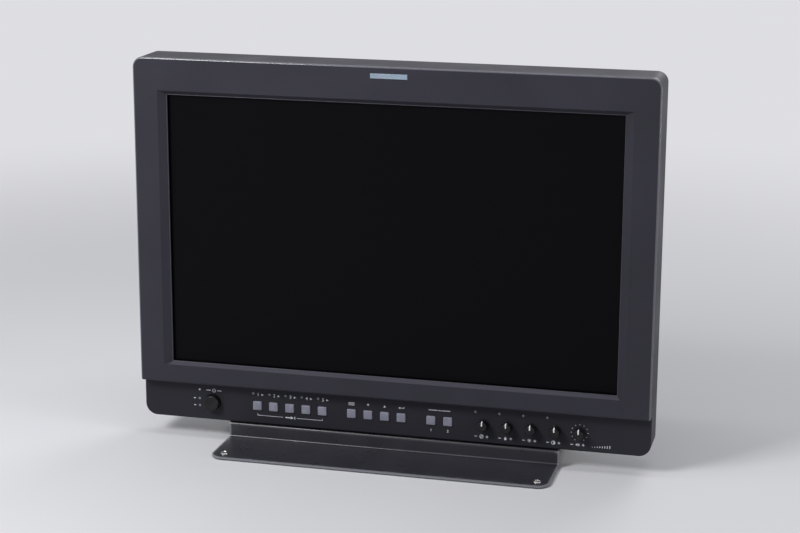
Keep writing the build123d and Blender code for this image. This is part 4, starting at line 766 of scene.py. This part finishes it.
def key_top(node):
    """A crowned cap of the size that the CAD key shows in front of the panel."""
    low, high, spot = shown_part(node, 0.1)
    half = (high[0] - low[0]) / 2
    proud = panel_face - low[1]
    inner = np.linspace(KEY_EDGE, half, 6)
    crown = proud - KEY_CROWN * (1 - inner / half) ** 2
    rows = [(half, -KEY_SKIRT), (0, -KEY_SKIRT)] + round_edge(KEY_EDGE, crown[0]) + list(zip(inner, crown))
    return placed(capped(half, half, KEY_CORNER, rows), FRONT, spot)


for node in keys:
    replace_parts(make_piece(node + "_cap", key_top(node), node, key_silicone), node)
print("key tops:", len(keys))

# %% [markdown]
# The frame's chamfer ends in a small polished bead round the screen. In the photograph it is the thin bright
# line down the left side of the picture. Its grey is lighter than the frame's: a painted highlight. A curve
# with a round section could make it. The capped form already has the corners, so a circle is carried round
# the opening as its profile: inset r cos t and height r sin t from the chamfer's inner edge.

# %% Bead round the screen
BEAD_RADIUS = 0.35
OPENING_CORNER = 0.8
t = np.linspace(0, 2 * np.pi, 13)
bead_rows = list(zip(BEAD_RADIUS * np.cos(t), BEAD_RADIUS * np.sin(t) - CHAMFER_DEPTH))
bead = capped(opening_half[0], opening_half[2], OPENING_CORNER, bead_rows)
# The bead's grey, lighter than the frame's plastic, is a painted highlight along the opening.
bead_painted_highlight_abs = satin_black_plastic("polished_bead_painted_highlight", "#3e3d47", "#4a4953")
make_piece("opening_bead", placed(bead, FRONT, (opening_centre[0], bezel_face, opening_centre[2])), "head",
           bead_painted_highlight_abs)
print("bead", 2 * BEAD_RADIUS, "mm round an opening of", (2 * opening_half).round(1).tolist())

# %% [markdown]
# Each knob is a small black cap with grooves for the fingers and a white line from the rim towards the
# middle. At rest every line points straight up, as on knobs that click in their middle place. Grooves could
# be cut with a boolean, but it leaves long thin faces, so the side is a turned form whose radius dips twelve
# times a turn. The line is a thin bar laid over the edge.

# %% Shapes of the knobs
TIP_SHARE = 0.91
FLUTES, FLUTE_DEPTH = 12, 0.45
SPINDLE_RADIUS, SPINDLE_LENGTH = 2.8, 7
DISH = 0.12
POINTER_WIDTH, POINTER_PROUD, POINTER_SUNK = 1.0, 0.08, 0.3


def strip(path, across, out, width, proud, sunk):
    """A thin bar with four corners carried along a path: width w across it, from sunk below to proud above
    the surface. The ends are closed by a point each."""
    path, out = np.asarray(path, float), np.asarray(out, float)
    across = np.broadcast_to(np.asarray(across, float), path.shape)
    side = np.array([-1, 1, 1, -1, -1])[None, :, None] * width / 2
    lift = np.array([proud, proud, -sunk, -sunk, proud])[None, :, None]
    ring = path[:, None, :] + across[:, None, :] * side + out[:, None, :] * lift
    ends = [np.repeat(ring[i][None, :4].mean(axis=1)[:, None, :], 5, axis=1) for i in (0, -1)]
    ring = np.concatenate([ends[0], ring, ends[1]])
    return surface(ring[..., 0], ring[..., 1], ring[..., 2])


def knob_cap(rim, front, back):
    """A fluted cap with its spindle: the side tapers from the rim to the tip, and the face is dished."""
    tip = rim * TIP_SHARE
    spindle = [(0, back - SPINDLE_LENGTH), (SPINDLE_RADIUS, back - SPINDLE_LENGTH), (SPINDLE_RADIUS, back)]
    skirt = [(rim - 0.4, back), (rim, back + 0.4), (rim, back + 1.2)]
    side = [(rim - 0.04, back + 1.4), (tip + 0.05, front - 1.2), (tip, front - 0.7),
            (tip - 0.15, front - 0.3)]
    face = [(tip - 0.5, front - 0.05), (tip - 0.9, front), (tip * 0.55, front - 0.08),
            (tip * 0.25, front - DISH), (0, front - DISH)]
    fluted = [0] * len(spindle + skirt) + [1, 1, 0.8, 0.4] + [0] * len(face)
    return turned(spindle + skirt + side + face, 96, FLUTES, FLUTE_DEPTH, fluted)


def knob_pointer(rim, front):
    """A line from near the middle, over the round edge and down the side. Each row of over is (distance from
    the middle, height), and lean turns its outward direction from the face's to the side's."""
    tip = rim * TIP_SHARE
    over = np.array([(0.9, front - 0.1), (tip * 0.5, front - 0.07), (tip - 0.9, front + 0.02),
                     (tip - 0.45, front - 0.02), (tip - 0.1, front - 0.28), (tip + 0.05, front - 0.8),
                     (tip + 0.12, front - 2.6)])
    lean = np.array([0, 0.02, 0.05, 0.4, 0.8, 1, 1])
    path = np.column_stack([0 * lean, over])
    out = np.column_stack([0 * lean, lean, 1 - lean])
    return strip(path, (1, 0, 0), out, POINTER_WIDTH, POINTER_PROUD, POINTER_SUNK)


def knob_forms(node):
    """The cap and the pointer, of the size and at the place of the CAD knob's part in front of the panel."""
    low, high, spot = shown_part(node, -0.1)
    rim, front, back = (high[0] - low[0]) / 2, panel_face - low[1], panel_face - high[1]
    return placed(knob_cap(rim, front, back), FRONT, spot), placed(knob_pointer(rim, front), FRONT, spot)


knobs = [name for name in frame["nodes"] if name.endswith("_knob") or "_knob_" in name]
print("knobs:", knobs)

# %% Caps and pointers


def print_ink(name, colour, other):
    """Silk-screened ink: a pale film with soft patches where the mesh laid it thinner."""
    return finish(name, {"IOR": 1.48, "Specular IOR Level": 0.3}, (1.5, colour, other), (2, 0.5, 0.65))


panel_ink = print_ink("silk_screen_pale_grey", "#c4c4cd", "#d4d4db")
pointer_ink = print_ink("pointer_white_enamel", "#dcdce2", "#eeeef2")
for node in knobs:
    cap, pointer = knob_forms(node)
    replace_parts(make_piece(node + "_cap", cap, node, control_black), node)
    make_piece(node + "_pointer", pointer, node, pointer_ink)
print("each knob has", FLUTES, "grooves", FLUTE_DEPTH, "mm deep")

# %% [markdown]
# The panel is printed in pale ink. The real words are left out, so the marks here are general signs that any
# operator would read: numbers over the inputs, arrows for the menu, a sun for brightness, a half-filled disc
# for contrast. A picture on the panel could hold them, but it blurs from near. So each mark is a shape, a
# thin bar along a path or a filled outline, a few hundredths of a millimetre proud of the panel, as real ink
# is.

# %% Printed lines and areas
INK = 0.03
SUNK = 0.1


def line(points, width=0.45):
    """A printed line along flat points (x, y): its direction at each point is the path's slope, and the width
    is laid square to that."""
    flat = np.array(points, float)
    slope = np.gradient(flat, axis=0) if len(flat) > 2 else np.repeat([flat[1] - flat[0]], 2, axis=0)
    slope /= np.linalg.norm(slope, axis=1, keepdims=True)
    across = np.stack([-slope[:, 1], slope[:, 0], 0 * slope[:, 0]], axis=1)
    path = np.column_stack([flat, np.zeros(len(flat))])
    return strip(path, across, np.tile([0.0, 0, 1], (len(flat), 1)), width, INK, SUNK)


def level(left, right, height, width=0.45):
    """A level line between two x."""
    return line([(left, height), (right, height)], width)


def upright(x, low, high, width=0.45):
    """An upright line between two heights."""
    return line([(x, low), (x, high)], width)


def filled(points):
    """A printed area: its outline is carried from the middle below to the middle above."""
    flat = np.array(points + points[:1], float)
    middle = flat[:-1].mean(axis=0)
    grow = np.array([0, 1, 1, 0])[:, None]
    height = np.array([-SUNK, -SUNK, INK, INK])[:, None]
    return surface(middle[0] + grow * (flat[:, 0] - middle[0]), middle[1] + grow * (flat[:, 1] - middle[1]),
                   height + 0 * flat[None, :, 0])


def arc(x, y, radius, start_degrees, end_degrees, steps=24):
    """Points of an arc, counted anticlockwise from the right: (x + r cos a, y + r sin a)."""
    angle = np.radians(np.linspace(start_degrees, end_degrees, steps))
    return list(zip(x + radius * np.cos(angle), y + radius * np.sin(angle)))


def dot(x, y, r):
    """A small filled disc."""
    return filled(arc(x, y, r, 0, 330, 12))


print("ink stands", INK, "mm proud, and its shapes reach", SUNK, "mm into the panel")

# %% The signs
# x and y are the middle of a sign, and r is about half its size.


def power_sign(x, y, r):
    """A ring open at the top with an upright stroke in the gap."""
    return [line(arc(x, y, r, 125, 415), 0.5), upright(x, y + 0.2 * r, y + 1.25 * r, 0.5)]


def plus(x, y, r):
    """A cross in one piece: a quarter of its outline, turned four times. Each arm is twice w wide."""
    w = 0.28
    quarter = [(r, w), (w, w), (w, r)]
    turns = [(1, 0), (0, 1), (-1, 0), (0, -1)]
    return [filled([(x + a * c - b * s, y + a * s + b * c) for c, s in turns for a, b in quarter])]


def arrow(x, y, r, degrees):
    """A filled triangle that points in a direction."""
    a = [math.radians(degrees + turn) for turn in (0, 125, 235)]
    return [filled([(x + r * math.cos(t), y + r * math.sin(t)) for t in a])]


def sun(x, y, r):
    """A small filled disc with eight rays."""
    rays = [math.radians(45 * k) for k in range(8)]
    return [filled(arc(x, y, 0.42 * r, 0, 337.5, 16))] + [
        line([(x + k * r * math.cos(t), y + k * r * math.sin(t)) for k in (0.62, 1)]) for t in rays]


def half_disc(x, y, r):
    """A ring whose right half is filled."""
    return [line(arc(x, y, r, 0, 360, 33)), filled(arc(x, y, r * 0.95, -90, 90, 17))]


def drop(x, y, r):
    """A drop of colour: a disc whose top is drawn out to a point."""
    return [filled(arc(x, y - 0.25 * r, 0.7 * r, -210, 30, 20) + [(x, y + 1.1 * r)])]


def phase_sign(x, y, r):
    """A ring with one wave across it."""
    t = np.linspace(-1, 1, 25)
    wave = list(zip(x + r * t, y + 0.5 * r * np.sin(np.pi * t)))
    return [line(arc(x, y, r, 0, 360, 33)), line(wave)]


def loudspeaker(x, y, r):
    """A horn with two arcs of sound."""
    horn = [(x - r, y - 0.35 * r), (x - 0.55 * r, y - 0.35 * r), (x, y - 0.8 * r), (x, y + 0.8 * r),
            (x - 0.55 * r, y + 0.35 * r), (x - r, y + 0.35 * r)]
    return [filled(horn), line(arc(x, y, 0.5 * r, -50, 50, 9)), line(arc(x, y, 0.95 * r, -50, 50, 9))]


print("a sun has", len(sun(0, 0, 1)), "strokes")

# %% [markdown]
# Numbers are text, which Blender makes from its own font. Each one becomes a mesh first, and its place is put
# into the mesh afterwards, so that the object itself stays at the origin.

# %% Numbers
BOLDER = 0.06


def print_numbers(name, words, turn, face, body, material):
    """One piece of printed numbers. words lists (text, x, height, size), x and height in the face's own
    directions, and face is the point that they are measured from."""
    sheet = bmesh.new()
    for text, x, height, size in words:
        curve = bpy.data.curves.new(name, "FONT")
        curve.body, curve.size, curve.extrude = text, size * MM, (INK + SUNK) / 2 * MM
        curve.offset = BOLDER * MM
        curve.align_x, curve.align_y = "CENTER", "CENTER"
        letter = bpy.data.objects.new(name, curve)
        mesh = bpy.data.meshes.new_from_object(letter)
        spot = np.asarray(face, float) + turn @ np.array([x, height, (INK - SUNK) / 2])
        matrix = Matrix(turn.tolist()).to_4x4()
        matrix.translation = Vector((spot * MM).tolist())
        mesh.transform(matrix)
        sheet.from_mesh(mesh)
        bpy.data.objects.remove(letter)
        bpy.data.meshes.remove(mesh)
    bmesh.ops.remove_doubles(sheet, verts=sheet.verts, dist=0.001 * MM)
    bmesh.ops.recalc_face_normals(sheet, faces=sheet.faces)
    mesh = bpy.data.meshes.new(name)
    sheet.to_mesh(mesh)
    sheet.free()
    mesh.materials.append(material)
    piece = in_scene(name, mesh)
    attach(piece, body)


print("the outline of a number is moved out by", BOLDER, "mm")

# %% [markdown]
# Where each mark goes follows from its control: over a key, under a knob, beside a lamp. The volume knob has
# a dial, from a dot to a last stroke where its pointer stops, and beside it a row of bars that rises with the
# volume.

# %% Marks in their places
LABEL_HEIGHT = 24.8
POWER_LABEL_HEIGHT = 25.5
MENU_LABEL_HEIGHT = 24.0
FUNCTION_LABEL_HEIGHT = 24.4
LOW_LABEL_HEIGHT = 7.3
KNOB_LABEL_HEIGHT = 5.4
THIN, BOLD = 0.35, 0.7


def centre_of(node):
    """A control's centre on the panel: x, and the height above the head's bottom."""
    low, high = box_of(points_of(node))
    return (low[0] + high[0]) / 2, (low[2] + high[2]) / 2 - head_bottom


def row_of(word):
    """The x of each control whose name starts with a word, from left to right."""
    return sorted(centre_of(name)[0] for name in frame["nodes"] if name.startswith(word))


def power_marks(x, y):
    """Over the power button its sign between two dashes, and a dash beside each of its lamps."""
    lamps = [spot for spot in solids_of("lamp_windows").mean(axis=1) if spot[0] < x]
    return (power_sign(x + 1, y, 1.35) + [level(x - 5.8, x - 2, y, BOLD), level(x + 4, x + 7.4, y, BOLD)]
            + [level(spot[0] - 5.2, spot[0] - 3.4, spot[2] - head_bottom, BOLD) for spot in lamps]
            + [dot(lamps[0][0], y, 0.8)])


def input_marks(row, y):
    """Under the input keys a bracket that is open in the middle, where an arrow enters a box."""
    middle = (row[0] + row[-1]) / 2
    strokes = arrow(middle + 1.6, y, 1.6, 0)
    for end, inner in ((row[0], middle - 6), (row[-1], middle + 6)):
        strokes += [upright(end, y + 0.2, y + 1.5, THIN), level(end, inner, y, THIN)]
    return strokes + [level(middle - 4, middle + 1, y, 0.9), upright(middle + 4.2, y - 1.2, y + 1.2, BOLD)]


def menu_marks(row, y):
    """Three lines for the menu, an arrow down, an arrow up and an arrow that turns back."""
    return ([level(row[0] - 2.6, row[0] + 2.6, y + step) for step in (-1, 0, 1)]
            + arrow(row[1], y + 0.2, 1.3, 270) + arrow(row[2], y - 0.2, 1.3, 90)
            + arrow(row[3] - 1.4, y - 0.2, 1.2, 180)
            + [upright(row[3] + 2.4, y - 0.2, y + 1), level(row[3] - 1, row[3] + 2.6, y - 0.2)])


def function_marks(row, y):
    """Over the function keys a dash, three dots and a dash."""
    middle = (row[0] + row[-1]) / 2
    return ([level(middle - 9, middle - 2, y, BOLD), level(middle + 2, middle + 9, y, BOLD)]
            + [dot(middle + step, y, 0.45) for step in (-1, 0, 1)])


def knob_marks(row, y):
    """Under each knob its sign between a minus and a plus, all a little to the left."""
    strokes = []
    for x, sign in zip(row, (phase_sign, drop, sun, half_disc, loudspeaker)):
        strokes += sign(x - 1.5, y, 1.45) + [level(x - 7.2, x - 5, y, 0.55)] + plus(x + 3.1, y, 1.1)
    return strokes


def volume_dial(x, y):
    """Eleven strokes round the volume knob, 30 degrees apart, and a dot in place of the first."""
    strokes = []
    for step in range(11):
        a = math.radians(240 - 30 * step)
        ends = [(x + r * math.cos(a), y + r * math.sin(a)) for r in (6.4, 7.2)]
        strokes.append(line(ends) if step else dot(*ends[0], 0.85))
    return strokes


inputs, functions = row_of("input_button"), row_of("function_button")
knob_row = row_of("picture_knob") + row_of("volume_knob")
print("knobs at x", [round(float(x), 1) for x in knob_row])

# %% The printed panel
bars = [upright(knob_row[-1] + 10.5 + 2 * step, KNOB_LABEL_HEIGHT - 1.2,
                KNOB_LABEL_HEIGHT - 0.7 + 0.28 * step, 0.6) for step in range(8)]
input_arrows = [stroke for x in inputs for stroke in arrow(x + 4.2, LABEL_HEIGHT + 0.3, 1.2, 0)]
marks = (power_marks(centre_of("power_button")[0], POWER_LABEL_HEIGHT) + input_arrows
         + input_marks(inputs, LOW_LABEL_HEIGHT) + menu_marks(row_of("menu_button"), MENU_LABEL_HEIGHT)
         + function_marks(functions, FUNCTION_LABEL_HEIGHT) + knob_marks(knob_row, KNOB_LABEL_HEIGHT)
         + volume_dial(*centre_of("volume_knob")) + bars)
numbers = ([(str(count), x + 0.6, LABEL_HEIGHT + 0.3, 3.6) for count, x in enumerate(inputs, 1)]
           + [(str(count), x, LOW_LABEL_HEIGHT, 3.0) for count, x in enumerate(functions, 1)])
panel_origin = np.array([0.0, panel_face, head_bottom])
make_piece("panel_marks", placed(joined(marks), FRONT, panel_origin), "head", panel_ink)
print_numbers("panel_numbers", numbers, FRONT, panel_origin, "head", panel_ink)
print("printed", len(marks), "strokes and", len(numbers), "numbers")

# %% [markdown]
# Every visible screw is a pan head with a crossed slot. A boolean could cut the slot, but a grid that has the
# cross from the start shades more cleanly. So the head is a function of two parameters on a square grid. The
# grid is bent into a disc, the height falls off towards the rim, and it drops again inside the cross. Grid
# lines lie close together along the walls of the cross, so the slot is crisp with few faces. The underside
# and the shaft are turned from the same rim points, and one function serves every size.

# %% Screws
SLOT_SHARE, ARM_SHARE, WALL_SHARE = 0.15, 0.55, 0.04
SLOT_DEPTH = 0.7


def screw(head_radius, head_height, shaft_radius, length):
    """Head: x = u sqrt(1 - v2/2), y = v sqrt(1 - u2/2), height = h (1 - r4)^(1/3), less the slot's depth.
    Shaft: the rim ring goes in to the shaft's radius, down its length and to a point in the middle."""
    half = np.array([SLOT_SHARE - 0.03, SLOT_SHARE + 0.03, 0.34, ARM_SHARE - WALL_SHARE,
                     ARM_SHARE + WALL_SHARE, 0.72, 0.85, 0.94, 1.0])
    u, v = np.meshgrid(*[np.concatenate([-half[::-1], [0], half])] * 2)
    x, y = u * np.sqrt(1 - v ** 2 / 2), v * np.sqrt(1 - u ** 2 / 2)
    r = np.minimum(np.hypot(x, y), 1)
    small, large = np.minimum(abs(u), abs(v)), np.maximum(abs(u), abs(v))
    slot = (small < SLOT_SHARE) & (large < ARM_SHARE)
    z = head_height * ((1 - r ** 4) ** (1 / 3) - slot * SLOT_DEPTH * (1 - 0.5 * large / ARM_SHARE))
    head = surface(x * head_radius, y * head_radius, z)
    rim = np.unique(np.round(np.arctan2(y, x)[r > 0.9999] % (2 * np.pi), 6))
    rim = np.append(rim, rim[0] + 2 * np.pi)[None, :]
    rows = [(head_radius, 0), (shaft_radius, 0), (shaft_radius, -length + 0.4), (shaft_radius - 0.4, -length),
            (0, -length)]
    radius, height = np.array(rows, float).T[:, :, None]
    return joined([head, surface(radius * np.cos(rim), radius * np.sin(rim), height + 0 * rim)])


def add_screws(node, axis, turn, head_height, shaft_radius, material):
    """Screws in place of a CAD node's, one per solid, whose heads point along an axis. A head is as wide as
    the solid is across its shaft."""
    boxes = solids_of(node)
    places = boxes.mean(axis=1)
    places[:, axis] = boxes[:, 1, axis] - head_height
    width, length = np.ptp(boxes[0, :, 0]), np.ptp(boxes[0, :, axis]) - head_height
    form = placed(screw(width / 2, head_height, shaft_radius, length), turn, places)
    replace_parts(make_piece(node + "_crossed", form, frame["nodes"][node]["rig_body"], material), node)
    print(node, len(places), "screws, shaft", round(float(length), 1), "mm")


for node, axis, turn, height, shaft, material, slot in (
        ("foot_screws", 2, TOP, 1.2, 1.6, bright_steel, "screw_steel"),
        ("bracket_screws", 2, TOP, 2.2, 2.0, bright_steel, "screw_steel"),
        ("case_screws", 1, BACK, 1.8, 1.5, black_steel, "black_screw"),
        ("cover_screws", 1, BACK, 1.6, 1.5, black_steel, "black_screw"),
        ("arm_screws", 1, BACK, 2.2, 2.0, bright_steel, "screw_steel")):
    add_screws(node, axis, turn, height, shaft, material)

# %% [markdown]
# Round the back, the sockets get the parts that show in their mouths. A video jack has a white insulator with
# a gold tube in its middle, a phono jack a coloured ring, a nine-way port a black insert with gold contacts
# inside a nickel shell. Each is a turned or a capped form, with its heights counted outwards from the face
# that it stands on: the jack's own mouth, or the back of the sheet.

# %% Video and phono jacks
JACK_SIDES, PHONO_SIDES = 32, 40
sheet_back = box_of(points_of("connector_panel"))[1][1]


def moulded_insulator(name, colour, other):
    """A small moulded insulator in a plain colour, waxy and smooth."""
    return finish(name, {"IOR": 1.45}, (3, colour, other), (3, 0.3, 0.42))


def mouths(node, depth=None):
    """The middle of each of a node's solids, at a depth, or at the solid's own back."""
    boxes = solids_of(node)
    spots = boxes.mean(axis=1)
    spots[:, 1] = boxes[:, 1, 1] if depth is None else depth
    return spots


white_insulator = moulded_insulator("white_insulator", "#dedcd5", "#ebeae4")
red_insulator = moulded_insulator("red_insulator", "#9d1f22", "#ad2a2b")

jacks = mouths("bnc_jacks")
ring = turned([(0, -7), (3, -7), (3, -1.4), (2.9, -1.3), (1.2, -1.3), (1.2, -6), (0, -6)], JACK_SIDES)
make_piece("bnc_insulators", placed(ring, BACK, jacks), "head", white_insulator)
tube = turned([(0, -6.5), (1.1, -6.5), (1.1, -1.2), (1, -1.1), (0.6, -1.1), (0.6, -3.5), (0, -3.5)], 24)
make_piece("bnc_contacts", placed(tube, BACK, jacks), "head", gold)

phonos = mouths("audio_jacks", sheet_back)
collar = turned([(0, -0.5), (5.6, -0.5), (5.6, 1.2), (5.2, 1.6), (4.25, 1.6), (4.25, 0.2), (0, 0.2)],
                PHONO_SIDES)
for number, (spot, material) in enumerate(zip(phonos, (red_insulator, white_insulator)), 1):
    make_piece(f"phono_collar_{number}", placed(collar, BACK, spot), "head", material)
print("video jacks", len(jacks), "phono jacks", len(phonos))

# %% Nine-way ports
PORT_PLATE, PORT_SHELL, PORT_INSERT = (15.4, 6.25, 1.2), (8.3, 4.2, 2.2), (7.6, 3.5, 1.6)
PORT_TAPER = 1.0
NUT_PITCH = 25.0
CONTACT_PITCH, CONTACT_ROW = 2.77, 1.42
ports = mouths("d_sub_ports", sheet_back)
proud = box_of(points_of("d_sub_ports"))[1][1] - sheet_back
plate = capped(*PORT_PLATE, [(PORT_PLATE[1], 0.1), (0, 0.1), (0, 0.7), (0.2, 0.9), (PORT_PLATE[1], 0.9)])
shell = capped(*PORT_SHELL, [(PORT_SHELL[1], 0.5), (0, 0.5), (0, proud - 0.2), (0.15, proud), (0.45, proud),
                             (0.6, proud - 0.2), (0.6, 1.2), (PORT_SHELL[1], 1.2)], PORT_TAPER)
nut = turned([(0, 0.8), (2.6, 0.8), (2.6, 4.6), (2.3, 5), (1.4, 5), (1.4, 2), (0, 2)], 6)
nut_spots = [(-NUT_PITCH / 2, 0, 0), (NUT_PITCH / 2, 0, 0)]
port = placed(joined([plate, shell, placed(nut, TOP, nut_spots)]), BACK, ports)
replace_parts(make_piece("port_shells", port, "head", nickel), "d_sub_ports")
insert = capped(*PORT_INSERT, [(PORT_INSERT[1], 1), (0, 1), (0, 2), (PORT_INSERT[1], 2)], PORT_TAPER)
make_piece("port_inserts", placed(insert, BACK, ports), "head", socket_black)
pin = turned([(0, 1.5), (0.5, 1.5), (0.5, 4.6), (0.2, 5), (0, 5)], 12)
pin_spots = [(CONTACT_PITCH * (k - (count - 1) / 2), height, 0)
             for count, height in ((5, CONTACT_ROW), (4, -CONTACT_ROW)) for k in range(count)]
make_piece("port_pins", placed(placed(pin, TOP, pin_spots), BACK, ports), "head", gold)
print("ports", len(ports), "with", len(pin_spots), "contacts each")

# %% [markdown]
# The inlets are standard ones. The mains inlet takes three flat blades, two below and one above, and two
# screws hold its flange. The round direct-current inlet has four gold pins at the corners of a square, and a
# screw in two opposite corners of its plate. Numbers under the video jacks tell them apart.

# %% Mains inlet
BLADE_PITCH, BLADE_RISE = 7, 2
FLANGE_REACH = 20
ac_x, ac_back, ac_z = mouths("ac_inlet")[0]
blade_edge = [(1.05, -17), (0, -17), (0, -6.6)] + round_edge(0.6, -5.9, 3) + [(1.05, -5.85)]
blade = capped(1.05, 2.05, 0.5, blade_edge)
blade_spots = [(ac_x + BLADE_PITCH * k, ac_back, ac_z + (BLADE_RISE if k == 0 else -BLADE_RISE))
               for k in (-1, 0, 1)]
make_piece("mains_blades", placed(blade, BACK, blade_spots), "head", nickel)
flange_spots = [(ac_x + side * FLANGE_REACH, ac_back, ac_z) for side in (-1, 1)]
flange_screws = placed(screw(2.8, 1.4, 1.4, 3), BACK, flange_spots)
make_piece("mains_flange_screws", flange_screws, "head", black_steel)
print("mains blades", BLADE_PITCH, "mm apart")

# %% Direct-current inlet and the numbers of the sockets
PIN_RING = 4.6
PLATE_RISE, PLATE_REACH = 1.6, (10, 11)
SOCKET_NUMBER_DROP, SOCKET_NUMBER_SIZE = 11.0, 3.6
dc_x, dc_back, dc_z = mouths("dc_inlet")[0]
contact = turned([(0, -15), (1.15, -15), (1.15, -7.6), (0.9, -7.1), (0.5, -6.95), (0, -6.9)], 20)
reach = PIN_RING / math.sqrt(2)
dc_spots = [(dc_x + sx * reach, dc_back, dc_z + sz * reach) for sx in (-1, 1) for sz in (-1, 1)]
make_piece("direct_current_pins", placed(contact, BACK, dc_spots), "head", gold)
corner_spots = [(dc_x + side * PLATE_REACH[0], sheet_back + PLATE_RISE, dc_z - side * PLATE_REACH[1])
                for side in (-1, 1)]
corner_screws = placed(screw(1.9, 1.0, 1.0, 2.5), BACK, corner_spots)
make_piece("direct_current_screws", corner_screws, "head", black_steel)

sheet_ink = print_ink("silk_screen_black", "#222227", "#2b2b30")
rear_numbers = [(str(count), -x, z - SOCKET_NUMBER_DROP - head_bottom, SOCKET_NUMBER_SIZE)
                for count, (x, _, z) in enumerate(sorted(jacks.tolist(), reverse=True), 1)]
print_numbers("socket_numbers", rear_numbers, BACK, (0, sheet_back, head_bottom), "head", sheet_ink)
print("pins", len(dc_spots), "and socket numbers", len(rear_numbers))

# %% [markdown]
# The floor is a plain round sheet, large enough to fill the view from any side, and it isn't part of the
# object. It is a pale grey, so that the dark monitor stands out and its shadow shows. The lamps stand near
# the monitor, so far away the floor would go dark. There the camera, and what reflects, see it as evenly
# pale: a little way out the floor turns from a lit surface into one that glows with its own colour.

# %% Floor
FLOOR_RADIUS = 12000
GLOW_FROM, GLOW_FULL = 450, 1500
radii = np.array([[0.0], [FLOOR_RADIUS]])
rim = np.linspace(0, 2 * np.pi, 65)
floor_form = surface(radii * np.cos(rim), radii * np.sin(rim), 0 * radii)
floor_mesh = bpy.data.meshes.new("floor")
floor_mesh.from_pydata((floor_form[0] * MM).tolist(), [], floor_form[1].tolist())


def seen_directly(tree):
    """1 where the camera looks, also in a mirror or through a lens, 0 for the light that falls on things."""
    ray = add(tree, "ShaderNodeLightPath").outputs
    seen = add(tree, "ShaderNodeMath", {0: ray["Is Camera Ray"], 1: ray["Is Glossy Ray"]},
               operation="MAXIMUM")
    return add(tree, "ShaderNodeMath", {0: seen, 1: ray["Is Transmission Ray"]}, operation="MAXIMUM")


def matt_table(name):
    """A matt pale laminate, with a faint mottle so that it doesn't look like empty space."""
    material, tree, shader, where = start(name, {"Specular IOR Level": 0.15})
    add_mottle(tree, shader, where, 400, "#d6d6da", "#dadadd")
    add_handling(tree, shader, where, 200, 0.6, 0.7)
    away = add(tree, "ShaderNodeVectorMath", {0: where}, operation="LENGTH")
    far = add(tree, "ShaderNodeMapRange", {"Value": away.outputs["Value"], "From Min": GLOW_FROM * MM,
                                           "From Max": GLOW_FULL * MM}, interpolation_type="SMOOTHSTEP")
    share = add(tree, "ShaderNodeMath", {0: far, 1: seen_directly(tree)}, operation="MULTIPLY")
    glow = add(tree, "ShaderNodeEmission", {"Color": paint("#dedee2"), "Strength": 1.0})
    both = add(tree, "ShaderNodeMixShader", {0: share, 1: shader, 2: glow})
    tree.links.new(both.outputs[0], tree.nodes["Material Output"].inputs["Surface"])
    return material


floor_mesh.materials.append(matt_table("matt_pale_laminate"))
floor = in_scene("floor", floor_mesh)
print("floor", 2 * FLOOR_RADIUS * MM, "m across")

# %% [markdown]
# In the photograph most light comes from the upper left, a narrow lamp on the right picks out the right
# edge, and something overhead draws the top edge. The same three stand here, softer and weaker, with a broad
# one behind for views of the back, and a pale room fills the rest. The key stands close by, so its light
# falls off over the front, from the upper left corner down. The room lights the monitor weakly, but the
# camera, and what is mirrored, see its walls as pale as the floor.

# %% Lights
LAMPS_AIM_AT = 150
ROOM_AS_LIGHT, ROOM_AS_SEEN = 0.35, 0.87


def soft_box(name, place, width, height, watts):
    """An oblong area light at a place (mm) that faces the middle of the monitor."""
    data = bpy.data.lights.new(name, "AREA")
    data.shape, data.energy, data.size, data.size_y = "RECTANGLE", watts, width * MM, height * MM
    lamp = in_scene(name, data)
    target = Vector((0, 0, head_bottom + LAMPS_AIM_AT))
    lamp.location = Vector(place) * MM
    lamp.rotation_euler = (Vector(place) - target).to_track_quat("Z", "Y").to_euler()


soft_box("key_upper_left", (-600, -840, 880), 420, 420, 11)
soft_box("edge_right", (1350, -250, 330), 90, 600, 3)
soft_box("strip_overhead", (0, -350, 1750), 1700, 160, 5.5)
soft_box("fill_behind", (600, 1500, 1300), 900, 900, 10)
world = bpy.data.worlds.new("pale_room")
bpy.context.scene.world = world
world.use_nodes = True
tree = world.node_tree
room = tree.nodes["Background"]
room.inputs["Color"].default_value = paint("#e9eaee")
strength = add(tree, "ShaderNodeMix", {0: seen_directly(tree), 2: ROOM_AS_LIGHT, 3: ROOM_AS_SEEN},
               data_type="FLOAT")
tree.links.new(strength.outputs[0], room.inputs["Strength"])
bpy.context.scene.view_settings.view_transform = "Standard"
